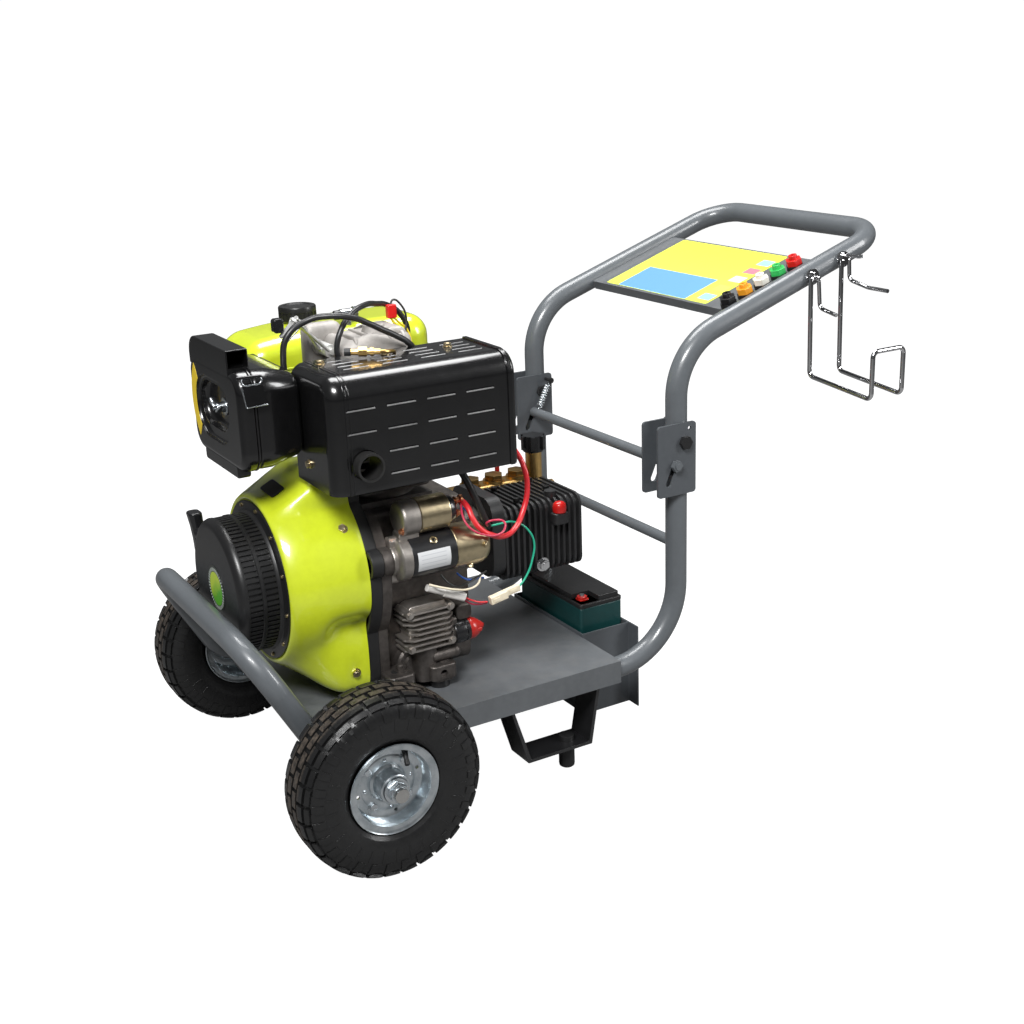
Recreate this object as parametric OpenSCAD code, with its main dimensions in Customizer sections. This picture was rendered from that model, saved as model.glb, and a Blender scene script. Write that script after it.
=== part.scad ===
// Pressure washer: an air-cooled diesel engine drives a triplex pump on a two-wheeled trolley.
// Every module works from the wheel axle (X), the middle plane (Y) and the ground (Z), in millimetres:
// +X runs from the bumper to the handle, -Y is the muffler side and +Z is up.
// placed() then moves the machine so that the origin lies under its middle.

/* [Trolley frame] */
// Outer diameter of the frame and handle tubes
tube_d = 32; // [28:1:36]
// Wall of the frame and handle tubes
tube_wall = 2; // [1.5:0.5:4]
// Distance from the middle plane to the centre of a side tube
tube_y = 197; // [185:1:215]
// Height of the side tubes' centreline
side_tube_z = 146; // [140:1:160]
// Distance from the axle back to the uprights
upright_x = 535; // [520:1:600]
// Height of the uprights' upper ends
upright_top = 430; // [420:1:431]
// Bend radius where a side tube turns up into its upright
rear_bend = 112; // [80:1:115]
// Distance of the bumper bar ahead of the axle
bumper_x = -138; // [-170:1:-125]
// Height of the bumper bar
bumper_z = 310; // [280:1:340]
// Bend radius at the two ends of the bumper bar
bumper_bend = 70; // [50:1:80]
// Where the bumper legs would meet the side tubes
leg_x = -48; // [-60:1:-40]
// Bend radius where a bumper leg runs into its side tube
leg_bend = 60; // [40:1:60]
// Diameter of the cross tube between the uprights
cross_tube_d = 16; // [12:1:25]
// Height of the cross tube
cross_tube_z = 320; // [290:1:360]

/* [Deck] */
// Front edge of the deck
deck_front = -38; // [-42:1:-20]
// Rear edge of the deck
deck_rear = 420; // [400:1:422]
// Thickness of the deck sheet
deck_sheet = 3; // [2:0.5:4]
// Depth of the deck's folded flanges
deck_flange = 35; // [25:1:45]

/* [Wheels] */
// Outer diameter of a tyre, which also sets the axle's height
wheel_d = 260; // [250:1:280]
// Distance from the middle plane to a wheel's middle
wheel_y = 278; // [272:1:300]
// Width of a tyre
tyre_w = 84; // [76:1:92]
// Depth of the tread grooves
tread_depth = 6; // [3:1:8]
// Number of cross grooves in each row of the tread
tread_count = 26; // [12:1:32]
// Diameter of a rim flange
rim_d = 127; // [120:1:132]
// Diameter of the tyre's seat on the rim
seat_d = 108; // [102:1:112]
// Distance between the inner faces of a rim's flanges
rim_w = 58; // [50:1:62]
// Length of a wheel hub
hub_len = 72; // [64:1:80]
// Diameter of the axle
axle_d = 20; // [16:1:24]

/* [Stand] */
// Width of a stand strap
strap_w = 50; // [30:1:60]
// Thickness of a stand strap
strap_t = 5; // [3:1:8]
// Height of the stand's bottom bar above the ground
strap_z = 38; // [30:1:50]
// Rear end of the stand's bottom bar
strap_rear = 374; // [360:1:380]
// Length of the stand's bottom bar
strap_len = 111; // [80:1:120]
// Diameter of a rubber foot
foot_d = 24; // [18:1:40]

/* [Handle] */
// Height of the handle's fold pivots
pivot_z = 481; // [478:1:484]
// Diameter of a pivot bolt
pivot_d = 12; // [8:1:14]
// Height at which the vertical and the sloping stretch of the handle would meet
handle_corner_z = 614; // [600:1:640]
// Slope of the upper handle
handle_slope = 18.5; // [10:0.5:25]
// Length of the sloping stretch up to the grip bar
handle_run = 410; // [380:1:450]
// Bend radius at the lower handle bend
handle_bend = 100; // [70:1:110]
// Bend radius at the ends of the grip bar
grip_bend = 60; // [45:1:80]
// Length of the handle tube below its pivot
handle_tail = 22; // [18:1:26]

/* [Fold bracket] */
// Height of a bracket
bracket_h = 107; // [100:1:120]
// Height of a bracket's lower edge
bracket_z = 403; // [398:1:405]
// Reach of a bracket ahead of the upright's centre
bracket_front = 47; // [42:1:60]
// Plate thickness of a bracket
bracket_t = 4; // [3:0.5:5]
// Diameter of the latch bar
latch_bar_d = 16; // [12:1:20]
// Diameter of the latch bar's end bolts
latch_bolt_d = 10; // [8:1:10]
// Travel of the latch bar along its slots
latch_travel = 28; // [20:1:28]

/* [Control panel] */
// Start of the panel along the sloping stretch
panel_start = 116; // [110:1:120]
// Length of the panel
panel_len = 177; // [160:1:185]
// Thickness of the panel's sheet
panel_t = 2; // [1:0.5:3]
// Distance of the nozzle row from the middle plane
nozzle_y = 166; // [160:1:168]
// Distance between neighbouring nozzles
nozzle_pitch = 33; // [28:1:34]
// Diameter of a nozzle's stem
nozzle_d = 11; // [9:1:12]
// Width across the flats of a nozzle's head
nozzle_head = 22; // [18:1:24]

/* [Battery] */
// Length of the battery across the machine
battery_l = 181; // [160:1:190]
// Width of the battery
battery_w = 77; // [65:1:78]
// Height of the battery
battery_h = 167; // [150:1:180]
// Height of the battery tray's floor
tray_z = 49; // [40:1:60]
// Sheet thickness of the battery tray
tray_t = 2.5; // [1.5:0.5:4]

/* [Engine] */
// Height of the crankshaft's axis
crank_z = 341; // [338:1:346]
// Offset of the crankshaft's axis from the middle plane
crank_y = -20; // [-24:1:-16]
// Diameter of the cylinder bore
bore_d = 86; // [80:1:88]
// Radius of the blower shroud around the flywheel
shroud_r = 130; // [128:1:134]
// Front face of the blower shroud
shroud_front = -52; // [-58:1:-48]
// Sheet thickness of the blower shroud
shroud_t = 2.5; // [1.5:0.5:4]
// Outer radius of the recoil starter's housing
recoil_r = 97; // [90:1:102]
// Front face of the recoil starter's housing
recoil_front = -116; // [-122:1:-110]
// Outer radius of the flywheel's fan
fan_r = 114; // [106:1:118]
// Diameter of the crankshaft's main journals
journal_d = 40; // [34:1:44]
// Length of the muffler's heat shield
muffler_l = 272; // [250:1:280]
// Depth of the muffler's heat shield
muffler_w = 123; // [115:1:123]
// Height of the muffler's heat shield
muffler_h = 155; // [140:1:160]
// Diameter of the starter motor
starter_d = 62; // [54:1:66]
// Length of the fuel tank
tank_l = 294; // [260:1:300]
// Height of the fuel tank
tank_h = 98; // [80:1:100]

/* [Pump] */
// Front face of the pump's crankcase
pump_x = 306; // [300:1:310]
// Length of the pump's crankcase
pump_l = 140; // [130:1:144]
// Diameter of the pump's shaft
pump_shaft_d = 46; // [40:1:50]
// Diameter of a pump plunger
plunger_d = 18; // [14:1:20]
// Distance between neighbouring plungers
plunger_pitch = 42; // [38:1:44]

/* [Hidden] */
$fn = 48;

// Clearances: seat for parts that rest on each other, run for a shaft in its bore
seat = 0.3;
run = 0.05;

tube_r = tube_d / 2;
wheel_r = wheel_d / 2;
axle_r = axle_d / 2;
side_tube_top = side_tube_z + tube_r;
deck_top = side_tube_top + deck_sheet + 0.2;
deck_half = tube_y + tube_r + seat + deck_sheet;
mount_h = 12;
foot_z = deck_top + mount_h;

// Handle's far end and the widest points, which place the origin under the machine's middle
handle_end_x = upright_x + handle_run * cos(handle_slope);
handle_end_z = handle_corner_z + handle_run * sin(handle_slope);
hook_reach = 350;
hook_r = 3.5;
hub_end = wheel_y + hub_len / 2;
axle_end = hub_end + 20;
origin_x = (bumper_x + handle_end_x) / 2;
origin_y = (axle_end - hook_reach - hook_r) / 2;

module placed() {
    translate([-origin_x, -origin_y, 0]) children();
}

// ---- Shapes that repeat ----

// Round bars along each axis, from a start point
module bar_x(from, length, r) {
    translate(from) rotate([0, 90, 0]) cylinder(r = r, h = length);
}
module bar_y(from, length, r) {
    translate(from) rotate([-90, 0, 0]) cylinder(r = r, h = length);
}
module bar_z(from, length, r) {
    translate(from) cylinder(r = r, h = length);
}

// Hexagonal bars, given by their width across the flats
module hex_x(from, length, flats) {
    translate(from) rotate([0, 90, 0]) cylinder(d = flats / cos(30), h = length, $fn = 6);
}
module hex_y(from, length, flats) {
    translate(from) rotate([-90, 0, 0]) cylinder(d = flats / cos(30), h = length, $fn = 6);
}
module hex_z(from, length, flats) {
    translate(from) cylinder(d = flats / cos(30), h = length, $fn = 6);
}

// Rectangle with round corners, from its lower left corner
module round_rect(size, r) {
    translate([r, 0]) square([size.x - 2 * r, size.y]);
    translate([0, r]) square([size.x, size.y - 2 * r]);
    for (x = [r, size.x - r])
        for (y = [r, size.y - r])
            translate([x, y]) circle(r = r);
}

// Boxes whose round edges run along X, Y or Z, from the corner with the lowest values
module slab_x(from, size, r) {
    translate(from) rotate([90, 0, 90]) linear_extrude(size.x) round_rect([size.y, size.z], r);
}
module slab_y(from, size, r) {
    translate(from + [0, size.y, 0]) rotate([90, 0, 0]) linear_extrude(size.y) round_rect([size.x, size.z], r);
}
module slab_z(from, size, r) {
    translate(from) linear_extrude(size.z) round_rect([size.x, size.y], r);
}

// Does everything for both sides of the machine
module both_sides() {
    children();
    mirror([0, 1, 0]) children();
}

// Straight stretch and elbow of a bent bar
function unit(v) = v / norm(v);
function turn_angle(a, b, c) = acos(unit(b - a) * unit(c - b));
function set_back(points, bends, i) =
    bends[i - 1] * tan(turn_angle(points[i - 1], points[i], points[i + 1]) / 2);

module stretch(a, b, r, bore) {
    d = b - a;
    translate(a) rotate([0, acos(d.z / norm(d)), atan2(d.y, d.x)]) difference() {
        cylinder(r = r, h = norm(d));
        if (bore > 0) translate([0, 0, -1]) cylinder(r = bore, h = norm(d) + 2);
    }
}

// An elbow is a hair slimmer than its straights, as a bent tube is
module elbow(points, bends, i, r, bore) {
    slim = 0.06;
    into = unit(points[i] - points[i - 1]);
    out = unit(points[i + 1] - points[i]);
    side = unit(out - into * (out * into));
    start = points[i] - into * set_back(points, bends, i);
    centre = start + side * bends[i - 1];
    up = cross(-side, into);
    multmatrix([
        [-side.x, into.x, up.x, centre.x],
        [-side.y, into.y, up.y, centre.y],
        [-side.z, into.z, up.z, centre.z],
        [0, 0, 0, 1]
    ])
        rotate_extrude(angle = turn_angle(points[i - 1], points[i], points[i + 1]))
            translate([bends[i - 1], 0]) difference() {
                circle(r = r - slim);
                if (bore > 0) circle(r = bore + slim);
            }
}

// Bar or tube along points, with one bend radius for each inner point
module bent_bar(points, bends, r, bore = 0) {
    last = len(points) - 1;
    lap = 0.4;
    for (i = [0:last - 1]) {
        along = unit(points[i + 1] - points[i]);
        a = points[i] + along * (i == 0 ? 0 : set_back(points, bends, i) - lap);
        b = points[i + 1] - along * (i == last - 1 ? 0 : set_back(points, bends, i + 1) - lap);
        stretch(a, b, r, bore);
    }
    for (i = [1:last - 1]) elbow(points, bends, i, r, bore);
}

// ---- Trolley ----

frame_points = [
    [upright_x, -tube_y, upright_top], [upright_x, -tube_y, side_tube_z],
    [leg_x, -tube_y, side_tube_z], [bumper_x, -tube_y, bumper_z],
    [bumper_x, tube_y, bumper_z], [leg_x, tube_y, side_tube_z],
    [upright_x, tube_y, side_tube_z], [upright_x, tube_y, upright_top]
];
frame_bends = [rear_bend, leg_bend, bumper_bend, bumper_bend, leg_bend, rear_bend];

// One tube: uprights, side tubes, bumper legs and bumper bar, notched for the axle
module frame_tube() color("dimgray") placed() {
    difference() {
        bent_bar(frame_points, frame_bends, tube_r, tube_r - tube_wall);
        bar_y([0, -tube_y - tube_d, wheel_r], 2 * (tube_y + tube_d), axle_r);
    }
}

module cross_tube() color("dimgray") placed() {
    difference() {
        bar_y([upright_x, -tube_y, cross_tube_z], 2 * tube_y, cross_tube_d / 2);
        bar_y([upright_x, -tube_y - 1, cross_tube_z], 2 * tube_y + 2, cross_tube_d / 2 - tube_wall);
        for (y = [-tube_y, tube_y])
            bar_z([upright_x, y, cross_tube_z - 20], 40, tube_r + 0.05);
    }
}

// Engine feet, as [x, y] of each mount's centre
foot_x = [92, 162];
foot_y = 112;
leg_notch = 29;
foot_spots = [for (x = foot_x) for (s = [-1, 1]) [x, crank_y + s * foot_y]];

module deck() color("slategray") placed() {
    length = deck_rear - deck_front;
    inner = tube_y - tube_r - seat;
    difference() {
        union() {
            translate([deck_front, -deck_half, deck_top - deck_sheet])
                cube([length, 2 * deck_half, deck_sheet]);
            for (y = [-deck_half, deck_half - deck_sheet])
                translate([deck_front, y, deck_top - deck_flange])
                    cube([length, deck_sheet, deck_flange]);
            for (x = [deck_front, deck_rear - deck_sheet])
                translate([x, -inner, deck_top - deck_flange])
                    cube([deck_sheet, 2 * inner, deck_flange]);
        }
        bar_y([0, -deck_half - 1, wheel_r], 2 * deck_half + 2, axle_r + seat);
        for (y = [-deck_half - 1, inner + 0.1])
            translate([deck_front - 1, y, deck_top - deck_flange - 1])
                cube([leg_notch, deck_half - inner + 1, deck_flange + 2]);
        for (spot = foot_spots)
            bar_z([spot.x, spot.y, deck_top - deck_sheet - 1], deck_sheet + 2, 5.5);
    }
}

module axle() color("silver") placed() {
    bar_y([0, -axle_end, wheel_r], 2 * axle_end, axle_r);
}

module axle_nuts() color("silver") placed() both_sides() difference() {
    union() {
        bar_y([0, hub_end + 0.5, wheel_r], 3, axle_r + 9);
        hex_y([0, hub_end + 3.5, wheel_r], 12, axle_d + 8);
    }
    bar_y([0, hub_end, wheel_r], 20, axle_r);
}

// ---- Wheels: each turns on the axle ----

// A wheel's pieces are drawn about the Z axis, with the outer face up, and then laid on the axle
module on_axle(side) {
    translate([0, side * wheel_y, wheel_r]) rotate([side < 0 ? 90 : -90, 0, 0]) children();
}

module tyre() color("black") {
    seat_r = seat_d / 2;
    rim_r = rim_d / 2;
    wall = 9;
    bead = 9.5;
    bead_top = rim_r + 2.5;
    difference() {
        rotate_extrude() difference() {
            union() {
                translate([bead_top, -tyre_w / 2]) round_rect([wheel_r - bead_top, tyre_w], 20);
                translate([seat_r + 0.1, -rim_w / 2 + seat]) square([bead_top - seat_r + 8, rim_w - 2 * seat]);
            }
            translate([bead_top + 2, -tyre_w / 2 + wall])
                round_rect([wheel_r - bead_top - 2 - 1.3 * wall, tyre_w - 2 * wall], 14);
            translate([seat_r - 1, -rim_w / 2 + bead]) square([bead_top - seat_r + 16, rim_w - 2 * bead]);
        }
        rotate_extrude() translate([wheel_r - tread_depth, -2.5]) square([tread_depth + 1, 5]);
        for (row = [-1, 1])
            for (i = [0:tread_count - 1])
                rotate([0, 0, (i + (row > 0 ? 0.5 : 0)) * 360 / tread_count])
                    translate([wheel_r - tread_depth, -2.5, row > 0 ? 2.4 : -tyre_w / 2 - 1])
                        cube([tread_depth + 1, 5, tyre_w / 2 - 1.4]);
    }
}

module rim() color("gainsboro") {
    seat_r = seat_d / 2;
    rim_r = rim_d / 2;
    sheet = 2.5;
    hub_r = axle_r + 11;
    web_z = 9;
    difference() {
        union() {
            rotate_extrude() {
                translate([seat_r - sheet, -rim_w / 2 - sheet]) square([sheet, rim_w + 2 * sheet]);
                for (z = [-rim_w / 2 - sheet, rim_w / 2])
                    translate([seat_r - sheet, z]) square([rim_r - seat_r + sheet, sheet]);
                translate([axle_r + 4, web_z]) square([seat_r - axle_r - 5, sheet]);
            }
            difference() {
                translate([0, 0, -hub_len / 2]) cylinder(r = hub_r, h = hub_len);
                translate([0, 0, -hub_len / 2 - 1]) cylinder(r = axle_r + run, h = hub_len + 2);
            }
        }
        for (i = [0:4])
            rotate([0, 0, i * 72]) translate([(hub_r + seat_r) / 2, 0, web_z - 1]) cylinder(r = 3.5, h = sheet + 2);
    }
    rotate([0, 0, 54]) translate([seat_r - 9, 0, web_z + sheet - 0.5]) cylinder(r = 3, h = 16);
}

module tyre_near() placed() on_axle(-1) tyre();
module tyre_far() placed() on_axle(1) tyre();
module rim_near() placed() on_axle(-1) rim();
module rim_far() placed() on_axle(1) rim();

// ---- Stand ----

strap_front = strap_rear - strap_len;
strap_y = tube_y - 17;

module stand_strap() {
    splay_front = 27;
    splay_rear = 16;
    top = side_tube_z - tube_r - 0.1;
    translate([0, strap_y + strap_w / 2, 0]) rotate([90, 0, 0]) linear_extrude(strap_w) polygon([
        [strap_front - splay_front, top], [strap_front, strap_z],
        [strap_rear, strap_z], [strap_rear + splay_rear, top],
        [strap_rear + splay_rear - strap_t, top], [strap_rear - strap_t, strap_z + strap_t],
        [strap_front + strap_t, strap_z + strap_t], [strap_front - splay_front + strap_t, top]
    ]);
}

foot_spot_x = strap_rear - 30;

module stand_straps() color("black") placed() both_sides() difference() {
    stand_strap();
    bar_z([foot_spot_x, strap_y, strap_z - 1], strap_t + 2, 4);
}

module stand_feet() color("black") placed() both_sides() {
    bar_z([foot_spot_x, strap_y, 0], strap_z, foot_d / 2);
    bar_z([foot_spot_x, strap_y, strap_z - 1], strap_t + 10, 4);
    hex_z([foot_spot_x, strap_y, strap_z + strap_t], 6, 13);
}

// ---- Fold brackets, handle and latch ----

cheek_gap = tube_r + 0.4;
cheek_out = cheek_gap + bracket_t;
latch_x = upright_x - 16.5;
latch_z = pivot_z - 32.5;
latch_dir = unit([-18, 0, -40]);
spring_post = [upright_x + 9, tube_y - cheek_out, pivot_z + 20];

// Slot for the latch bar's end bolts: its lower end is latch_travel down the slope
module latch_slot(y, length) {
    r = latch_bolt_d / 2 + 0.4;
    low = [latch_x, y, latch_z] + latch_dir * latch_travel;
    bar_y([latch_x, y, latch_z], length, r);
    bar_y(low, length, r);
    translate([latch_x, y, latch_z]) rotate([0, atan2(-latch_dir.z, latch_dir.x), 0])
        translate([0, 0, 0.1 - r]) cube([latch_travel, length, 2 * r - 0.2]);
}

module hinge_bracket() {
    front = upright_x - bracket_front;
    back = upright_x + cheek_out;
    difference() {
        union() {
            for (y = [tube_y - cheek_out, tube_y + cheek_gap])
                slab_y([front, y, bracket_z], [back - front, bracket_t, bracket_h], 5);
            translate([upright_x + cheek_gap, tube_y - cheek_out, bracket_z + 5])
                cube([bracket_t, 2 * cheek_out, pivot_z - tube_r - 6 - bracket_z]);
        }
        bar_y([upright_x, tube_y - 30, pivot_z], 60, pivot_d / 2);
        latch_slot(tube_y - 30, 60);
        bar_y([spring_post.x, tube_y - 30, spring_post.z], 60, 3);
    }
}

module hinge_brackets() color("dimgray") placed() both_sides() hinge_bracket();

module hinge_bolts() color("gray") placed() both_sides() {
    bar_y([upright_x, tube_y - cheek_out, pivot_z], 2 * cheek_out, pivot_d / 2);
    hex_y([upright_x, tube_y + cheek_out, pivot_z], 7, pivot_d + 6);
    hex_y([upright_x, tube_y - cheek_out - 4, pivot_z], 4, pivot_d + 6);
    bar_y([spring_post.x, tube_y - cheek_out - 17, spring_post.z], 17 + bracket_t, 3);
    bar_y([spring_post.x, tube_y - cheek_out - 18, spring_post.z], 3, 5);
}

module latch_bar() color("gray") placed() {
    half = tube_y - cheek_out - 0.5;
    bar_y([latch_x, -half, latch_z], 2 * half, latch_bar_d / 2);
    both_sides() {
        bar_y([latch_x, half - 1, latch_z], 2 * cheek_out + 11, latch_bolt_d / 2);
        hex_y([latch_x, tube_y + cheek_out + 0.5, latch_z], 7, latch_bolt_d + 5);
    }
}

handle_points = [
    [upright_x, -tube_y, pivot_z - handle_tail], [upright_x, -tube_y, handle_corner_z],
    [handle_end_x, -tube_y, handle_end_z], [handle_end_x, tube_y, handle_end_z],
    [upright_x, tube_y, handle_corner_z], [upright_x, tube_y, pivot_z - handle_tail]
];
handle_bends = [handle_bend, grip_bend, grip_bend, handle_bend];

module handle_tube() color("gray") placed() difference() {
    bent_bar(handle_points, handle_bends, tube_r, tube_r - tube_wall);
    bar_y([upright_x, -tube_y - tube_d, pivot_z], 2 * (tube_y + tube_d), pivot_d / 2 + run);
}

// Puts things in the plane of the sloping stretch: X runs up the slope and Z stands square to it
module on_slope() {
    translate([upright_x, 0, handle_corner_z]) rotate([0, -handle_slope, 0]) children();
}

panel_z = 0;
panel_half = tube_y - tube_r - 0.05;
nozzle_u = [for (i = [0:4]) panel_start + 12 + i * nozzle_pitch];
grommet_h = 9;

module control_panel() color("dimgray") placed() on_slope() {
    lip = 12;
    lip_half = panel_half - 1;
    difference() {
        union() {
            translate([panel_start, -panel_half, panel_z]) cube([panel_len, 2 * panel_half, panel_t]);
            for (x = [panel_start, panel_start + panel_len - panel_t])
                translate([x, -lip_half, panel_z - lip]) cube([panel_t, 2 * lip_half, lip + 1]);
        }
        for (u = nozzle_u) bar_z([u, -nozzle_y, panel_z - 1], panel_t + 2, nozzle_d / 2 + 3);
    }
}

module nozzle_grommets() color("black") placed() on_slope() {
    hole = nozzle_d / 2 + run;
    for (u = nozzle_u) translate([u, -nozzle_y, panel_z]) difference() {
        union() {
            translate([0, 0, panel_t]) cylinder(r = nozzle_d / 2 + 7, h = grommet_h - panel_t);
            translate([0, 0, -4]) cylinder(r = nozzle_d / 2 + 3, h = 6);
            translate([0, 0, -4]) cylinder(r = nozzle_d / 2 + 4, h = 4);
        }
        translate([0, 0, -5]) cylinder(r = hole, h = grommet_h + 6);
    }
}

nozzle_colours = ["black", "orange", "white", "green", "red"];

// Spray nozzle: grooved quick-connect stem below, coloured hexagonal head above
module nozzle(i) color(nozzle_colours[i]) placed() on_slope() {
    base = panel_z + grommet_h + seat;
    translate([nozzle_u[i], -nozzle_y, base]) difference() {
        union() {
            cylinder(d = nozzle_head / cos(30), h = 9, $fn = 6);
            translate([0, 0, 9]) cylinder(d = nozzle_head * 0.6, h = 6);
            translate([0, 0, -grommet_h - 9]) cylinder(d = nozzle_d, h = grommet_h + 9.5);
        }
        translate([0, 0, -grommet_h - 10]) cylinder(r = 2.5, h = grommet_h + 30);
        rotate_extrude() translate([nozzle_d / 2 - 1, -grommet_h - 6]) square([2, 3]);
    }
}

module nozzle_1() nozzle(0);
module nozzle_2() nozzle(1);
module nozzle_3() nozzle(2);
module nozzle_4() nozzle(3);
module nozzle_5() nozzle(4);

// Wire hooks for the hose and the gun, welded to two discs on the handle's outer side
hook_x = [771, 830];
hook_low = 539;
hook_high = 603;

module hook_disc(x) {
    z = handle_corner_z + (x - upright_x) * tan(handle_slope);
    bar_y([x, -tube_y - tube_r - 3.2, z], 3, 12);
    bar_y([x, -tube_y - tube_r - 8, z], 6, 7);
}

module wire_hooks() color("silver") placed() {
    y = -tube_y - tube_r - 3.2 - hook_r;
    z_a = handle_corner_z + (hook_x[0] - upright_x) * tan(handle_slope);
    z_b = handle_corner_z + (hook_x[1] - upright_x) * tan(handle_slope);
    for (x = hook_x) hook_disc(x);
    bent_bar([
        [hook_x[0] - 7, y, z_a], [hook_x[0] - 4, y, hook_low + 6], [hook_x[0] - 4, -hook_reach, hook_low - 6],
        [hook_x[0] - 4, -hook_reach, hook_high], [hook_x[1] - 4, -hook_reach, hook_high],
        [hook_x[1] - 4, -hook_reach, hook_low - 6], [hook_x[1] - 4, y, hook_low + 6], [hook_x[1] - 7, y, z_b]
    ], [9, 9, 9, 9, 9, 9], hook_r);
    bent_bar([[hook_x[0] + 8, y, z_a], [hook_x[0] + 12, y, z_a - 47], [hook_x[0] + 12, y - 36, z_a - 53]], [9], 3);
    bent_bar([[hook_x[1] + 8, y, z_b], [hook_x[1] + 10, y, z_b - 31], [hook_x[1] + 10, y - 40, z_b - 38],
        [hook_x[1] + 10, y - 80, z_b - 38]], [9, 30], 3);
    bent_bar([[hook_x[1] + 4, y + 1, z_b + 6], [hook_x[1] + 4, y - 24, z_b + 6], [hook_x[1] + 4, y - 36, z_b + 9]], [12], 2.5);
}

// Tension springs between the brackets' upper posts and the ends of the latch bar
spring_r = 5;
spring_wire = 1.25;
spring_turns = 9;
spring_y = tube_y - cheek_out - 11;
spring_top = [spring_post.x, spring_y, spring_post.z];
spring_foot = [latch_x, spring_y, latch_z];
spring_dir = unit(spring_foot - spring_top);
coil_top = spring_top + spring_dir * 12;
coil_foot = spring_foot - spring_dir * 16;

// Rings along the spring's wire, each as [centre, onward, sideways]: eye, shank, coil, shank, eye
wire_y = [0, 1, 0];
wire_out = unit(cross(spring_dir, wire_y));
top_eye_r = 3 + spring_wire + 0.2;
foot_eye_r = latch_bar_d / 2 + spring_wire + 0.2;
coil_steps = 8 * spring_turns;
coil_rise = norm(coil_foot - coil_top) / spring_turns;

function coil_ring(k) =
    let (
        turn = 45 * k,
        outward = cos(turn) * wire_out - sin(turn) * wire_y,
        around = -sin(turn) * wire_out - cos(turn) * wire_y
    )
    [
        coil_top + spring_dir * coil_rise * turn / 360 + spring_r * outward,
        unit(2 * PI * spring_r * around + coil_rise * spring_dir),
        outward
    ];

spring_rings = concat(
    [
        for (a = [-180:30:60])
            [spring_top + top_eye_r * (cos(a) * wire_out + sin(a) * spring_dir),
            cos(a) * spring_dir - sin(a) * wire_out, wire_y]
    ],
    [
        [spring_top + top_eye_r * spring_dir, unit(spring_dir - wire_out), wire_y],
        [coil_top, unit(spring_dir + wire_out), wire_y],
        [coil_top + spring_r * wire_out, unit(wire_out - wire_y), unit(wire_out + wire_y)]
    ],
    [for (k = [1:coil_steps - 1]) coil_ring(k)],
    [
        [coil_foot + spring_r * wire_out, unit(-wire_y - wire_out), unit(wire_out - wire_y)],
        [coil_foot, unit(spring_dir - wire_out), -wire_y],
        [spring_foot - foot_eye_r * spring_dir, unit(spring_dir - wire_out), -wire_y]
    ],
    [
        for (a = [120:30:360])
            [spring_foot + foot_eye_r * (cos(a) * wire_out - sin(a) * spring_dir),
            -sin(a) * wire_out - cos(a) * spring_dir, -wire_y]
    ]
);

// The wire's least gap to itself, between rings that don't follow each other
function least_gap(rings, wire) = min([
    for (i = [0:len(rings) - 7])
        min([for (j = [i + 6:len(rings) - 1]) norm(rings[i][0] - rings[j][0])])
]) - 2 * wire;

echo(str("least gap of a latch spring, mm: ", least_gap(spring_rings, spring_wire)));

// Closed tube through a list of rings
module wound_wire(rings, wire) {
    sides = 6;
    last = len(rings) - 1;
    points = [
        for (ring = rings)
            for (j = [0:sides - 1])
                ring[0] + wire * (cos(60 * j) * ring[2] + sin(60 * j) * cross(ring[1], ring[2]))
    ];
    faces = concat(
        [[for (j = [0:sides - 1]) j]],
        [[for (j = [sides - 1:-1:0]) last * sides + j]],
        [
            for (k = [0:last - 1])
                for (j = [0:sides - 1])
                    let (here = k * sides, next = here + sides, i = (j + 1) % sides)
                    each [[here + j, next + j, next + i], [here + j, next + i, here + i]]
        ]
    );
    polyhedron(points = points, faces = faces, convexity = 8);
}

module latch_springs() color("silver") placed() both_sides() wound_wire(spring_rings, spring_wire);

// ---- Battery ----

battery_x = deck_rear + 7;
battery_y = -98;
tray_x = deck_rear + seat;
tray_y = battery_y - 14;
tray_l = battery_l + 26;
tray_w = 87;

module battery_tray() color("dimgray") placed() {
    base = tray_z - 15;
    top = deck_top + 5;
    translate([tray_x, tray_y, tray_z]) cube([tray_w, tray_l, tray_t]);
    for (x = [tray_x, tray_x + tray_w - tray_t])
        translate([x, tray_y, base]) cube([tray_t, tray_l, top - base]);
    for (y = [tray_y, tray_y + tray_l - tray_t])
        translate([tray_x, y, base]) cube([tray_w, tray_t, top - base]);
    translate([tray_x + tray_w - 1, tray_y - 24, base]) cube([tray_t, tray_l + 48, top - base]);
}

battery_base = tray_z + tray_t;
lid_h = 14;

module battery_case() color("darkgreen") placed() {
    wall = 4;
    size = [battery_w, battery_l, battery_h - lid_h];
    translate([battery_x, battery_y, battery_base]) difference() {
        cube(size);
        for (i = [0:5])
            translate([wall, wall + i * (battery_l - wall) / 6, wall])
                cube([battery_w - 2 * wall, (battery_l - wall) / 6 - wall, battery_h]);
    }
}

module battery_lid() color("black") placed() {
    z = battery_base + battery_h - lid_h + 0.1;
    translate([battery_x, battery_y, z]) cube([battery_w, battery_l, lid_h]);
    for (y = [battery_y + 24, battery_y + battery_l - 24])
        bar_z([battery_x + battery_w / 2, y, z + lid_h - 1], 11, 8);
    bar_y([battery_x + battery_w / 2, battery_y + battery_l - 44, z + lid_h + 5], 36, 4);
}

// ---- Engine: the crankshaft runs along X, its flywheel in front and the pump behind ----

module on_crank(x) {
    translate([x, crank_y, crank_z]) rotate([0, 90, 0]) children();
}

// Drum or ring about the crankshaft's axis
module drum(x, length, r) {
    on_crank(x) cylinder(r = r, h = length);
}
module ring(x, length, r, bore) {
    on_crank(x) difference() {
        cylinder(r = r, h = length);
        translate([0, 0, -1]) cylinder(r = bore, h = length + 2);
    }
}

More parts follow.
